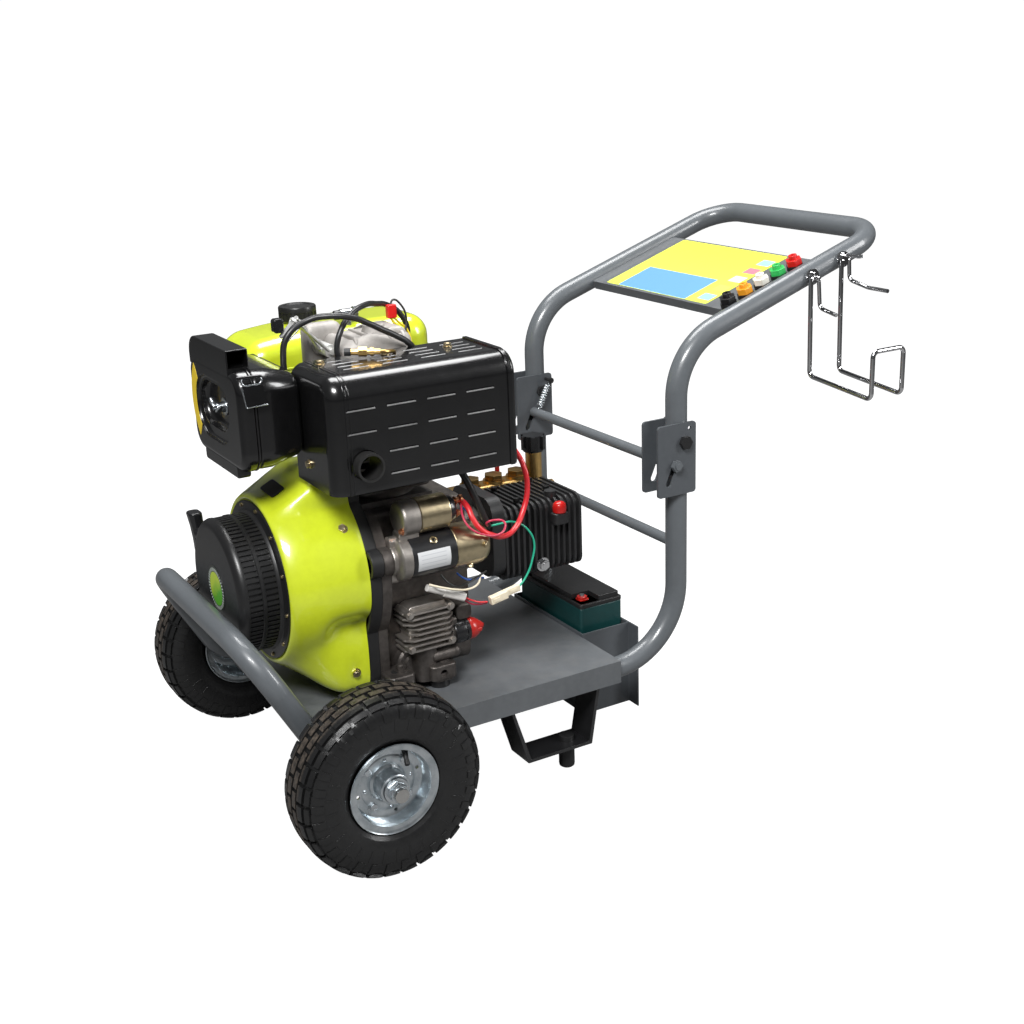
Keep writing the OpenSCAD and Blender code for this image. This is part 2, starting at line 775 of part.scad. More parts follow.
journal_r = journal_d / 2;
cylinder_x = 136;
stroke = 70;
case_front = 76;
case_rear = 228;
case_top = 430;
head_z = 541;
head_top = 600;
cover_top = 655;
starter_at = [-140, 373];
hose_spots = [[182, -42], [98, -6]];
plug_y = crank_y - 104;

module engine_mounts() color("black") placed() for (spot = foot_spots) {
    bar_z([spot.x, spot.y, deck_top + 0.05], mount_h - 0.1, 15);
    bar_z([spot.x, spot.y, deck_top - 16], mount_h + 42, 5);
    hex_z([spot.x, spot.y, deck_top - deck_sheet - 8.1], 8, 15);
    hex_z([spot.x, spot.y, foot_z + 12.1], 8, 15);
}

// Outline of the blower shroud and of the flange behind it, seen along the crankshaft
module shroud_outline(inset) {
    r = shroud_r - inset;
    translate([crank_y, crank_z]) circle(r = r);
    translate([crank_y - 105 + inset, foot_z + 1 + inset])
        round_rect([210 - 2 * inset, crank_z - foot_z - 1 - inset], 18);
    translate([crank_y - 72 + inset, crank_z])
        round_rect([144 - 2 * inset, 151 - inset], 36);
}

module along_crank(x, length) {
    translate([x, 0, 0]) rotate([90, 0, 90]) linear_extrude(length) children();
}

// The shroud's mouth is round, and its cone opens out to the flange behind it
module shroud_form(front, depth, inset) {
    intersection() {
        along_crank(front, depth) shroud_outline(inset);
        on_crank(front) cylinder(r1 = shroud_r - 11 - inset, r2 = shroud_r - 11 - inset + depth * 0.8, h = depth);
    }
}

module blower_shroud() color("yellowgreen") placed() {
    rear = 58;
    depth = rear - shroud_front;
    difference() {
        shroud_form(shroud_front, depth, 0);
        shroud_form(shroud_front + shroud_t, depth, shroud_t);
        drum(shroud_front - 1, 10, 88);
    }
}

module shroud_seal() color("black") placed() difference() {
    along_crank(58.2, 17.4) {
        shroud_outline(2);
        translate(starter_at) circle(r = 20);
    }
    along_crank(57, 20) {
        shroud_outline(8);
        translate(starter_at) circle(r = 13);
    }
}

module crankcase() color("silver") placed() {
    wall = 9;
    half = 88;
    difference() {
        union() {
            intersection() {
                along_crank(case_front, 14) {
                    shroud_outline(3);
                    translate(starter_at) circle(r = 20);
                }
                translate([case_front - 1, -300, 0]) cube([20, 600, case_top]);
            }
            slab_x([case_front + 13, crank_y - half, foot_z + 1], [case_rear - case_front - 13, 2 * half, case_top - foot_z - 1], 22);
            drum(case_rear - 1, 60, 40);
            drum(case_rear - 1, 22, 62);
            for (spot = foot_spots)
                slab_z([spot.x - 15, spot.y < crank_y ? spot.y - 18 : crank_y + half - 12, foot_z], [30, foot_y - half + 30, 12], 6);
            bar_x([190, plug_y, 236], 18, 13);
            translate([190, plug_y, 226]) cube([18, 20, 20]);
        }
        slab_x([case_front + 22, crank_y - half + wall, foot_z + 12],
            [case_rear - case_front - 31, 2 * (half - wall), case_top - foot_z - 21], 16);
        drum(case_front - 1, 240, journal_r + run);
        bar_x([case_front - 1, starter_at.x, starter_at.y], 30, 16);
        bar_z([cylinder_x, crank_y, case_top - 34], 50, bore_d / 2 + 9.5);
        bar_x([192, plug_y, 236], 20, 8);
        for (spot = foot_spots) bar_z([spot.x, spot.y, foot_z - 1], 14, 5.4);
    }
}

module cylinder_barrel() color("silver") placed() difference() {
    union() {
        bar_z([cylinder_x, crank_y, case_top - 26], head_z - case_top + 25.8, bore_d / 2 + 9);
        translate([cylinder_x - 58, crank_y - 58, case_top + 0.1]) cube([116, 116, 8]);
        for (z = [case_top + 20:12:head_z - 12])
            slab_z([cylinder_x - 58, crank_y - 62, z], [116, 124, 3.5], 16);
    }
    bar_z([cylinder_x, crank_y, case_top - 27], 200, bore_d / 2);
}

module cylinder_head() color("silver") placed() difference() {
    union() {
        slab_z([cylinder_x - 58, crank_y - 58, head_z], [116, 116, head_top - head_z], 14);
        bar_y([100, crank_y - 76, 570], 20, 24);
        bar_x([cylinder_x - 76, 10, 575], 20, 25);
    }
    for (z = [head_z + 16, head_z + 32])
        for (y = [crank_y - 59, crank_y + 49])
            translate([cylinder_x - 48, y, z]) cube([96, 10, 6]);
    bar_y([100, crank_y - 77, 570], 50, 17);
    bar_x([cylinder_x - 77, 10, 575], 50, 18);
}

lever_x = cylinder_x - 63;
lever_z = cover_top - 6;

module rocker_cover() color("silver") placed() difference() {
    union() {
        slab_z([cylinder_x - 54, crank_y - 48, head_top + 0.1], [108, 96, cover_top - head_top], 22);
        slab_z([cylinder_x - 58, crank_y - 52, head_top + 0.1], [116, 104, 8], 14);
        bar_z([cylinder_x + 10, crank_y, cover_top - 1], 12, 16);
        bar_y([lever_x, crank_y - 18, lever_z], 38, 10);
        translate([lever_x, crank_y - 18, lever_z - 10]) cube([14, 38, 10]);
        for (spot = hose_spots) bar_z([spot.x, spot.y, cover_top - 1], 8, 6.5);
    }
    slab_z([cylinder_x - 50, crank_y - 44, head_top - 1], [100, 88, cover_top - head_top - 3], 18);
    bar_y([lever_x, crank_y - 20, lever_z], 24, 4 + run);
}

module piston() color("silver") placed() {
    crown = 535;
    difference() {
        bar_z([cylinder_x, crank_y, crown - 60], 60, bore_d / 2 - run);
        bar_z([cylinder_x, crank_y, crown - 61], 48, bore_d / 2 - 7);
        bar_y([cylinder_x, crank_y - 60, crown - 34], 120, 11);
    }
    bar_y([cylinder_x, crank_y - bore_d / 2 + 3, crown - 34], bore_d - 6, 11);
}

module crankshaft() color("silver") placed() {
    drum(-62, 20, 9);
    drum(-44, cylinder_x - 28 + 44.5, journal_r);
    for (x = [cylinder_x - 28, cylinder_x + 12]) {
        drum(x, 16, 52);
        translate([x, crank_y - 24, crank_z]) cube([16, 48, 58]);
    }
    translate([cylinder_x - 13, 0, stroke / 2]) drum(0, 26, 16);
    drum(cylinder_x + 27, pump_x + 12 - cylinder_x - 27, journal_r);
}

module flywheel() color("gray") placed() {
    difference() {
        union() {
            drum(20, 24, fan_r - 8);
            drum(-8, 30, 36);
            drum(43, 14, fan_r - 3);
            for (i = [0:15])
                on_crank(-22) rotate([0, 0, i * 22.5]) translate([40, -2, 0]) cube([fan_r - 42, 4, 43]);
        }
        drum(-9, 80, journal_r);
        ring(46, 20, fan_r - 16, 42);
    }
    difference() {
        drum(-20, 10, 34);
        drum(-21, 20, journal_r);
    }
}

// ---- Recoil starter ----

spool_x = -98;
rope_z = crank_z + 47;

module recoil_housing() color("black") placed() difference() {
    union() {
        drum(recoil_front, shroud_front - recoil_front - 3, recoil_r);
        drum(shroud_front - 4, 3.7, 113);
    }
    drum(recoil_front + 3, 100, recoil_r - 3);
    ring(recoil_front - 1, 3, recoil_r - 12, recoil_r - 34);
    for (i = [0:29])
        on_crank(recoil_front + 18) rotate([0, 0, i * 12]) translate([recoil_r - 12, -3.5, 0])
            cube([20, 7, 34]);
    bar_y([spool_x, crank_y + 40, rope_z], 60, 3.2);
}

module recoil_spool() color("dimgray") placed() {
    difference() {
        union() {
            drum(spool_x - 8, 3, 60);
            drum(spool_x + 5, 3, 60);
            drum(spool_x - 6, 12, 44);
        }
        drum(spool_x - 9, 30, 8 + run);
    }
    for (i = [0:2])
        on_crank(spool_x + 7) rotate([0, 0, i * 120]) translate([24, -4, 0]) cube([12, 8, 12]);
}

module recoil_post() {
    drum(recoil_front + 2.5, 34, 8);
}

module pull_grip() color("black") placed() {
    y = crank_y + recoil_r + 4;
    bar_y([spool_x, crank_y, rope_z], recoil_r + 8, 2.5);
    slab_y([spool_x - 10, y, rope_z - 32], [20, 26, 64], 9.5);
    bar_y([spool_x, y - 7, rope_z], 8, 8);
}

// ---- Air cleaner ----

air_x = -60;
air_y = -120;
air_w = 195;
air_z = 520;
air_h = 135;

module air_cleaner() color("black") placed() {
    difference() {
        slab_x([air_x, air_y + 6, air_z + 6], [57, air_w - 12, air_h - 12], 26);
        slab_x([air_x - 1, air_y + 9, air_z + 9], [55, air_w - 18, air_h - 18], 23);
        bar_x([-10, 10, 575], 30, 18);
    }
    difference() {
        bar_x([-1, 10, 575], cylinder_x - 76 + 0.8, 22);
        bar_x([-12, 10, 575], 100, 18);
    }
    bar_x([air_x - 30, crank_y + 2, 590], 89, 3);
}

module air_cleaner_cover() color("black") placed() {
    front = -92;
    difference() {
        union() {
            slab_x([front, air_y, air_z], [32, air_w, air_h], 30);
            translate([front, -82, air_z + air_h - 10]) cube([30, 142, 34]);
        }
        slab_x([front + 3, air_y + 3, air_z + 3], [40, air_w - 6, air_h - 6], 27);
        translate([front + 2.5, -83, air_z + air_h - 4]) cube([25, 140, 25.5]);
        bar_x([front - 1, crank_y + 2, 590], 10, 4);
        slab_x([front - 1, crank_y - 25, 556], [2.2, 64, 66], 20);
    }
    difference() {
        bar_x([front - 9, crank_y + 2, 590], 11, 9);
        bar_x([front - 10, crank_y + 2, 590], 30, 3);
    }
    translate([front - 9, crank_y - 14, 587]) cube([5, 8, 6]);
    translate([front - 9, crank_y + 10, 587]) cube([5, 8, 6]);
}

module air_filter() color("wheat") placed() difference() {
    bar_x([air_x - 24, crank_y + 2, 588], 78, 50);
    bar_x([air_x - 25, crank_y + 2, 588], 80, 34);
}

// ---- Muffler ----

muffler_x = -2;
muffler_y = -195;
muffler_z = 493;

module muffler() color("black") placed() {
    y = muffler_y + 54;
    z = muffler_z + 72;
    port = crank_y - 76.2;
    difference() {
        union() {
            bar_x([muffler_x + 14, y, z], muffler_l - 28, 44);
            bar_y([100, y, 570], port - y, 21);
        }
        bar_x([muffler_x + 16, y, z], muffler_l - 32, 42);
        bar_y([100, y + 30, 570], 60, 17);
        bar_y([43, muffler_y - 19, 531], 63, 16);
    }
    difference() {
        union() {
            bar_y([43, muffler_y - 3, 531], 26, 18);
            bar_y([43, muffler_y - 18, 531], 16, 19);
        }
        bar_y([43, muffler_y - 19, 531], 50, 16);
    }
}

module heat_shield() color("black") placed() {
    sheet = 1.6;
    difference() {
        slab_x([muffler_x, muffler_y, muffler_z - 40], [muffler_l, muffler_w + 60, muffler_h + 40], 30);
        slab_x([muffler_x + sheet, muffler_y + sheet, muffler_z - 41],
            [muffler_l - 2 * sheet, muffler_w + 61, muffler_h + 41 - sheet], 28.4);
        translate([muffler_x - 1, muffler_y - 1, muffler_z - 60]) cube([muffler_l + 2, 300, 60]);
        translate([muffler_x - 1, muffler_y + muffler_w, muffler_z - 60]) cube([muffler_l + 2, 100, 300]);
        bar_y([43, muffler_y - 1, 531], 10, 20);
        for (i = [0:3])
            for (j = [0:3]) {
                if (i > 0 || j > 1) translate([62 + i * 48, muffler_y - 1, 520 + j * 26]) cube([34, 4, 3]);
                translate([40 + i * 56, muffler_y + 46 + j * 18, muffler_z + muffler_h - 3]) cube([38, 3, 5]);
            }
    }
    for (x = [muffler_x + 34, muffler_x + muffler_l - 48])
        translate([x, muffler_y + 46, muffler_z + 116.3])
            cube([14, 16, muffler_h - 116.3 - sheet / 2]);
}

// ---- Fuel tank ----

tank_x = -5;
tank_y = 75;
tank_w = 140;
tank_z = 560;
cap_at = [99, 140];

module tank_shape(inset) {
    size = [tank_l - 2 * inset, tank_w - 2 * inset, tank_h - 2 * inset];
    corner = [tank_x + inset, tank_y + inset, tank_z + inset];
    intersection() {
        slab_x(corner, size, 34 - inset);
        slab_z(corner, size, 33 - inset);
    }
}

module fuel_tank() color("yellowgreen") placed() {
    difference() {
        union() {
            tank_shape(0);
            bar_z([cap_at.x, cap_at.y, tank_z + tank_h - 3], 17, 21);
            bar_z([246, 108, tank_z + tank_h - 3], 9, 6.5);
        }
        tank_shape(2);
        bar_z([cap_at.x, cap_at.y, tank_z + tank_h - 5], 30, 17);
    }
    for (x = [96, 172]) {
        translate([x, crank_y + 88.3, case_top - 60]) cube([24, 5, tank_z - case_top + 60]);
        translate([x, crank_y + 88.3, tank_z - 4.2]) cube([24, 100, 4]);
    }
}

module fuel_cap() color("black") placed() {
    top = tank_z + tank_h + 27;
    difference() {
        union() {
            bar_z([cap_at.x, cap_at.y, top - 22], 22, 26);
            for (i = [0:11])
                translate([cap_at.x, cap_at.y, top - 20]) rotate([0, 0, i * 30]) translate([24, -4, 0]) cube([4, 8, 16]);
        }
        bar_z([cap_at.x, cap_at.y, top - 23], 12, 21 + run);
    }
}

// ---- Starter, covers and small controls ----

module starter_motor() color("silver") placed() {
    y = starter_at.x;
    z = starter_at.y;
    bar_x([104, y, z], 142, starter_d / 2);
    bar_x([245, y, z], 6, starter_d / 2 - 3);
    bar_x([90.3, y, z], 15, 22);
    bar_x([66, y, z], 30, 6);
    bar_x([62, y, z], 11, 11);
    for (s = [-1, 1]) bar_x([90.3, y, z + s * 26], 8, 8);
    translate([90.3, y - 8, z - 30]) cube([8, 16, 60]);
}

module starter_solenoid() color("silver") placed() {
    y = starter_at.x;
    z = starter_at.y + starter_d / 2 + 25.2;
    bar_x([108, y, z], 74, 25);
    bar_x([181, y, z], 12, 17);
    for (s = [-1, 1]) bar_x([192, y, z + s * 9], 14, 4);
}

module finned_cover() color("silver") placed() {
    face = crank_y - 88;
    depth = 40;
    difference() {
        slab_y([108, face - depth, 230], [78, depth - 0.2, 62], 12);
        for (z = [239:8:283])
            for (x = [100, 176])
                translate([x, face - depth - 1, z]) cube([18, depth - 6, 4]);
        for (z = [239:8:283])
            translate([100, face - depth - 1, z]) cube([94, 9, 4]);
    }
    for (x = [118, 176]) for (z = [240, 282]) hex_y([x, face - depth - 5, z], 6, 10);
}

module injection_pump() color("silver") placed() {
    face = crank_y + 88;
    bar_y([140, face + 0.2, 300], 30, 24);
    translate([122, face + 14, 276]) cube([36, 30, 64]);
    bar_z([140, face + 30, 330], 40, 10);
    hex_z([140, face + 30, 368], 12, 17);
}

module throttle_lever() color("silver") placed() {
    y = crank_y + 88.3;
    bar_y([214, y, 400], 9, 10);
    translate([208, y + 3, 400]) cube([12, 4, 60]);
    bar_y([214, y + 3, 458], 18, 7);
}

module decompression_lever() color("silver") placed() {
    y = crank_y - 25;
    bar_y([lever_x, y, lever_z], 26, 4);
    bar_y([lever_x, y, lever_z], 6.5, 8);
    translate([lever_x - 52, y, lever_z - 4]) cube([52, 5, 8]);
    bar_y([lever_x - 52, y - 8, lever_z], 13, 6);
}

module oil_plug() color("red") placed() {
    bar_x([193, plug_y, 236], 16, 8 - run);
    bar_x([208.4, plug_y, 236], 8, 14);
    bar_x([216, plug_y, 236], 22, 10);
    translate([216, plug_y - 13, 233]) cube([18, 26, 6]);
}

// ---- Pump: three plungers work across the machine, into a brass manifold ----

pump_near = -80;
pump_far = 44.8;
pump_z = 271;
pump_h = 114;
manifold_y = 45;
plunger_x = [for (i = [-1, 0, 1]) pump_x + pump_l / 2 + i * plunger_pitch];
inlet_x = pump_x + 147;
inlet_z = 319;

module pump_crankcase() color("black") placed() {
    difference() {
        union() {
            slab_x([pump_x, pump_near + 6, pump_z + 4], [pump_l, pump_far - pump_near - 6, pump_h - 8], 16);
            for (x = [pump_x + 4:10:pump_x + pump_l - 4])
                slab_x([x, pump_near, pump_z], [4, pump_far - pump_near, pump_h], 16);
            slab_x([pump_x - 18.8, crank_y - 62, crank_z - 62], [20.8, 124, 124], 26);
            bar_z([pump_x + 96, pump_near + 22, pump_z + pump_h - 4], 12, 9);
        }
        drum(pump_x - 20, pump_l + 12, pump_shaft_d / 2 + 11);
        translate([pump_x + 8, crank_y - 44, crank_z - 44]) cube([pump_l - 16, 88, 76]);
        for (x = plunger_x) bar_y([x, 20, crank_z], 40, plunger_d / 2 + run);
    }
    difference() {
        drum(pump_x + pump_l - 9, 5, pump_shaft_d / 2 + 12);
        drum(pump_x + pump_l - 10, 7, journal_r + run);
    }
}

module pump_manifold() color("goldenrod") placed() difference() {
    union() {
        slab_x([pump_x - 4, manifold_y, 312], [152, 46, 58], 8);
        for (x = plunger_x) {
            bar_z([x, manifold_y + 24, 300], 84, 17);
            bar_y([x, manifold_y + 20, crank_z], 34, 15.5);
        }
        bar_x([pump_x + 146, manifold_y + 26, 352], 34, 11);
        bar_x([pump_x + 146, manifold_y + 26, 352], 10, 14);
        bar_y([inlet_x, manifold_y + 12, inlet_z], 43, 15.5);
        bar_y([inlet_x, manifold_y + 54, inlet_z], 29, 14);
        bar_z([pump_x - 6 + 146, manifold_y + 16, 360], 60, 13);
    }
    bar_x([pump_x + 4, manifold_y + 26, 352], 200, 6.5);
    bar_x([pump_x + 4, manifold_y + 26, inlet_z], inlet_x - pump_x - 4, 6);
    bar_y([inlet_x, manifold_y + 16, inlet_z], 80, 9);
    for (x = plunger_x) bar_y([x, manifold_y - 1, crank_z], 44, plunger_d / 2 + run);
}

module pump_plugs() color("goldenrod") placed() for (x = plunger_x) {
    hex_z([x, manifold_y + 24, 384.1], 9, 27);
    hex_y([x, manifold_y + 54.1, crank_z], 8, 27);
}

module pressure_knob() color("black") placed() {
    x = pump_x + 140;
    y = manifold_y + 16;
    bar_z([x, y, 420.2], 26, 16);
    for (i = [0:5]) translate([x, y, 424]) rotate([0, 0, i * 60]) translate([14, -3.5, 0]) cube([6, 7, 22]);
}

// ---- Leads and hoses held at both ends ----

fuel_hose_1 = [[-14, -42, 649.3], [-14, -42, 694], [60, -42, 710], [182, -42, 704], [182, -42, 662.2]];
fuel_hose_2 = [[98, -6, 662.2], [98, -6, 690], [150, 20, 696], [246, 108, 694], [246, 108, 664.2]];
red_cable = [
    [206.2, -140, 438.2], [226, -140, 438.2], [234, -168, 408], [252, -178, 390], [282, -168, 380],
    [310, -142, 388], [330, -114, 424], [336, -104, 480], [340, -50, 524], [390, 4, 470],
    [470, 14, 410], [502, 30, 330], [502, 62, 262], [488, 90, 238], [465, 86, 237], [465, 67.2, 236.9]
];

module fuel_hoses() color("black") placed() {
    bent_bar(fuel_hose_1, [34, 70, 34], 4.5);
    bent_bar(fuel_hose_2, [22, 70, 22], 4.5);
}

module battery_cables() color("red") placed() {
    bent_bar(red_cable, [9, 14, 16, 26, 26, 30, 30, 30, 40, 40, 40, 30, 14, 10, 6], 4);
}

frame_tube();
cross_tube();
deck();
axle();
axle_nuts();
tyre_near();
tyre_far();
rim_near();
rim_far();
stand_straps();
stand_feet();
hinge_brackets();
hinge_bolts();
latch_bar();
latch_springs();
handle_tube();
control_panel();
nozzle_grommets();
nozzle_1();
nozzle_2();
nozzle_3();
nozzle_4();
nozzle_5();
wire_hooks();
battery_tray();
battery_case();
battery_lid();
engine_mounts();
crankcase();
cylinder_barrel();
cylinder_head();
rocker_cover();
blower_shroud();
shroud_seal();
recoil_housing();
recoil_spool();
pull_grip();
air_cleaner();
air_cleaner_cover();
air_filter();
muffler();
heat_shield();
fuel_tank();
fuel_cap();
starter_motor();
starter_solenoid();
finned_cover();
injection_pump();
throttle_lever();
decompression_lever();
oil_plug();
flywheel();
crankshaft();
piston();
pump_crankcase();
pump_manifold();
pump_plugs();
pressure_knob();
fuel_hoses();
battery_cables();
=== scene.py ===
"""The looks of a diesel pressure washer on a two-wheeled trolley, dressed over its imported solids.

Pieces are shaped in millimetres from the axle's centre line, with +X to the handle and Z from the
ground, and are then set into the frame in metres.
"""

import logging
import math
from dataclasses import dataclass, field
from enum import Enum
from typing import Any, Callable, Sequence

import bpy
from mathutils import Matrix, Vector


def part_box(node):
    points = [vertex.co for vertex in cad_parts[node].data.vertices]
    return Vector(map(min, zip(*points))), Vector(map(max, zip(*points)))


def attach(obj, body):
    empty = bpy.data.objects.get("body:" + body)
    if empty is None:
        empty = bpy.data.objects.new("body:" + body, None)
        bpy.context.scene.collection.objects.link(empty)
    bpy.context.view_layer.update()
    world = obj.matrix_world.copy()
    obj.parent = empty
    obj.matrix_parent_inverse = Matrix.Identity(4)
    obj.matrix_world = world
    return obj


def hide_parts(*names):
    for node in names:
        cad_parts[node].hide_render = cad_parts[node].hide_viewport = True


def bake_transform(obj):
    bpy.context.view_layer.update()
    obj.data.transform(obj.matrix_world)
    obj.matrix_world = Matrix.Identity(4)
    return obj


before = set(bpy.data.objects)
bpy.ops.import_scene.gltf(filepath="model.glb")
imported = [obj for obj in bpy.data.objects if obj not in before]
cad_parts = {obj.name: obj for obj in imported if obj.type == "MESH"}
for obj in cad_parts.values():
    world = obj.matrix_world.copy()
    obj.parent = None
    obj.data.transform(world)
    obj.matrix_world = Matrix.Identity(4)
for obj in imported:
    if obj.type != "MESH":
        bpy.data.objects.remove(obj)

LOG = logging.getLogger("pressure_washer")
MM = 0.001

Point = tuple[float, float, float]
Colour = tuple[float, float, float]
Piece = bpy.types.Object
PlaceTest = Callable[[Vector, Vector], bool]


# --- shader arithmetic


class Wave:
    """A value that changes over a surface: one node socket, with arithmetic."""

    def __init__(self, paint: "Paint", socket: bpy.types.NodeSocket) -> None:
        """Wraps a socket of a paint's node tree."""
        self.paint = paint
        self.socket = socket

    def _math(self, operation: str, first: Any, second: Any = 0.0) -> "Wave":
        """Adds one Math node on two values or links."""
        return self.paint.node("ShaderNodeMath", {"operation": operation}, {0: first, 1: second})

    def __add__(self, other: Any) -> "Wave":
        """Sum of two waves."""
        return self._math("ADD", self, other)

    def __radd__(self, other: Any) -> "Wave":
        """Sum with a number on the left."""
        return self._math("ADD", other, self)

    def __sub__(self, other: Any) -> "Wave":
        """Difference of two waves."""
        return self._math("SUBTRACT", self, other)

    def __rsub__(self, other: Any) -> "Wave":
        """Difference from a number on the left."""
        return self._math("SUBTRACT", other, self)

    def __mul__(self, other: Any) -> "Wave":
        """Product of two waves."""
        return self._math("MULTIPLY", self, other)

    def __pow__(self, other: Any) -> "Wave":
        """Power of a wave."""
        return self._math("POWER", self, other)

    def sine(self) -> "Wave":
        """Sine of a wave in radians."""
        return self._math("SINE", self)

    def higher(self, other: Any) -> "Wave":
        """The higher of two waves."""
        return self._math("MAXIMUM", self, other)

    def step(self, start: float, end: float) -> "Wave":
        """A soft step from 0 to 1.

        Args:
            start: Value at which the step leaves 0.
            end: Value at which the step reaches 1.

        Returns:
            The stepped wave.
        """
        settings = {"interpolation_type": "SMOOTHSTEP"}
        return self.paint.node("ShaderNodeMapRange", settings, {0: self, 1: start, 2: end})


class Paint:
    """One material while its nodes are laid."""

    def __init__(self, name: str) -> None:
        """Starts a material with its shader and its Object coordinates."""
        self.material = bpy.data.materials.new(name)
        self.material.use_nodes = True
        self.tree = self.material.node_tree
        self.shader = next(n for n in self.tree.nodes if n.type == "BSDF_PRINCIPLED")
        self.spot = self.node("ShaderNodeTexCoord", output="Object")

    def node(self, kind: str, settings: dict[str, Any] | None = None,
             values: dict[Any, Any] | None = None, output: Any = 0) -> Wave:
        """Adds a node.

        Args:
            kind: The node's type.
            settings: Its settings, set first; "stops" gives a ramp's places and colours.
            values: Values or waves for its sockets, by name or number.
            output: Name or number of the socket that is wrapped.

        Returns:
            The wrapped output.
        """
        made = self.tree.nodes.new(kind)
        for key, value in (settings or {}).items():
            if key == "stops":
                self._lay_stops(made.color_ramp, value)
            else:
                setattr(made, key, value)
        for key, value in (values or {}).items():
            self.feed(made.inputs[key], value)
        return Wave(self, made.outputs[output])

    @staticmethod
    def _lay_stops(ramp: bpy.types.ColorRamp, stops: Sequence[tuple[float, Colour]]) -> None:
        """Sets a ramp's stops."""
        while len(ramp.elements) < len(stops):
            ramp.elements.new(0.5)
        for element, (place, colour) in zip(ramp.elements, stops):
            element.position = place
            element.color = (*colour, 1.0)

    def feed(self, socket: bpy.types.NodeSocket, value: Any) -> None:
        """Gives a socket a value or a link."""
        if isinstance(value, Wave):
            self.tree.links.new(value.socket, socket)
        elif isinstance(value, tuple) and len(value) == 3 and socket.type == "RGBA":
            socket.default_value = (*value, 1.0)
        else:
            socket.default_value = value

    def set(self, **values: Any) -> None:
        """Sets the shader's own sockets; an underscore in a name stands for a space."""
        for key, value in values.items():
            self.feed(self.shader.inputs[key.replace("_", " ")], value)

    def noise(self, grain: float, detail: float = 3.0, rough: float = 0.55, seed: float = 0.0,
              at: Wave | None = None) -> Wave:
        """Clouds of a given size.

        Args:
            grain: Size of a cloud in millimetres.
            detail: Finer layers on the clouds.
            rough: How strong the finer layers are.
            seed: Shift that makes another pattern.
            at: Coordinates, the piece's own if left out.

        Returns:
            A wave about 0.5.
        """
        place = self.node("ShaderNodeMapping", {}, {"Vector": at or self.spot, "Location": (seed,) * 3})
        return self.node("ShaderNodeTexNoise", {},
                         {"Vector": place, "Scale": 1.0 / (grain * MM), "Detail": detail, "Roughness": rough})

    def pits(self, grain: float) -> Wave:
        """Distance to the nearest of many scattered points, a grain's size apart."""
        return self.node("ShaderNodeTexVoronoi", {}, {"Vector": self.spot, "Scale": 1.0 / (grain * MM)},
                         "Distance")

    def axes(self, at: Wave | None = None) -> tuple[Wave, Wave, Wave]:
        """The X, Y and Z of a place on the piece, in metres."""
        parts = [self.node("ShaderNodeSeparateXYZ", {}, {0: at or self.spot}, n) for n in range(3)]
        return parts[0], parts[1], parts[2]

    def facing_up(self) -> Wave:
        """1 where the surface faces up, 0 where it faces level or down."""
        normal = self.node("ShaderNodeNewGeometry", output="Normal")
        return self.axes(normal)[2].step(0.45, 0.95)

    def blend(self, share: Any, first: Any, second: Any) -> Wave:
        """Mixes two colours by a share from 0, the first, to 1, the second."""
        return self.node("ShaderNodeMix", {"data_type": "RGBA"}, {0: share, 6: first, 7: second}, 2)

    def bump(self, height: Wave, depth: float, under: Wave | None = None) -> Wave:
        """Turns a height wave into a normal, with the depth in millimetres."""
        values: dict[Any, Any] = {"Height": height, "Distance": depth * MM, "Strength": 1.0}
        if under is not None:
            values["Normal"] = under
        return self.node("ShaderNodeBump", {}, values)


# --- finishes


class Skin(Enum):
    """What the outside of a piece is made of."""

    PAINT = "sprayed paint"
    PLASTIC = "moulded plastic"
    CASTING = "sand or die casting"
    PLATED = "plated or bare metal"
    RUBBER = "rubber"


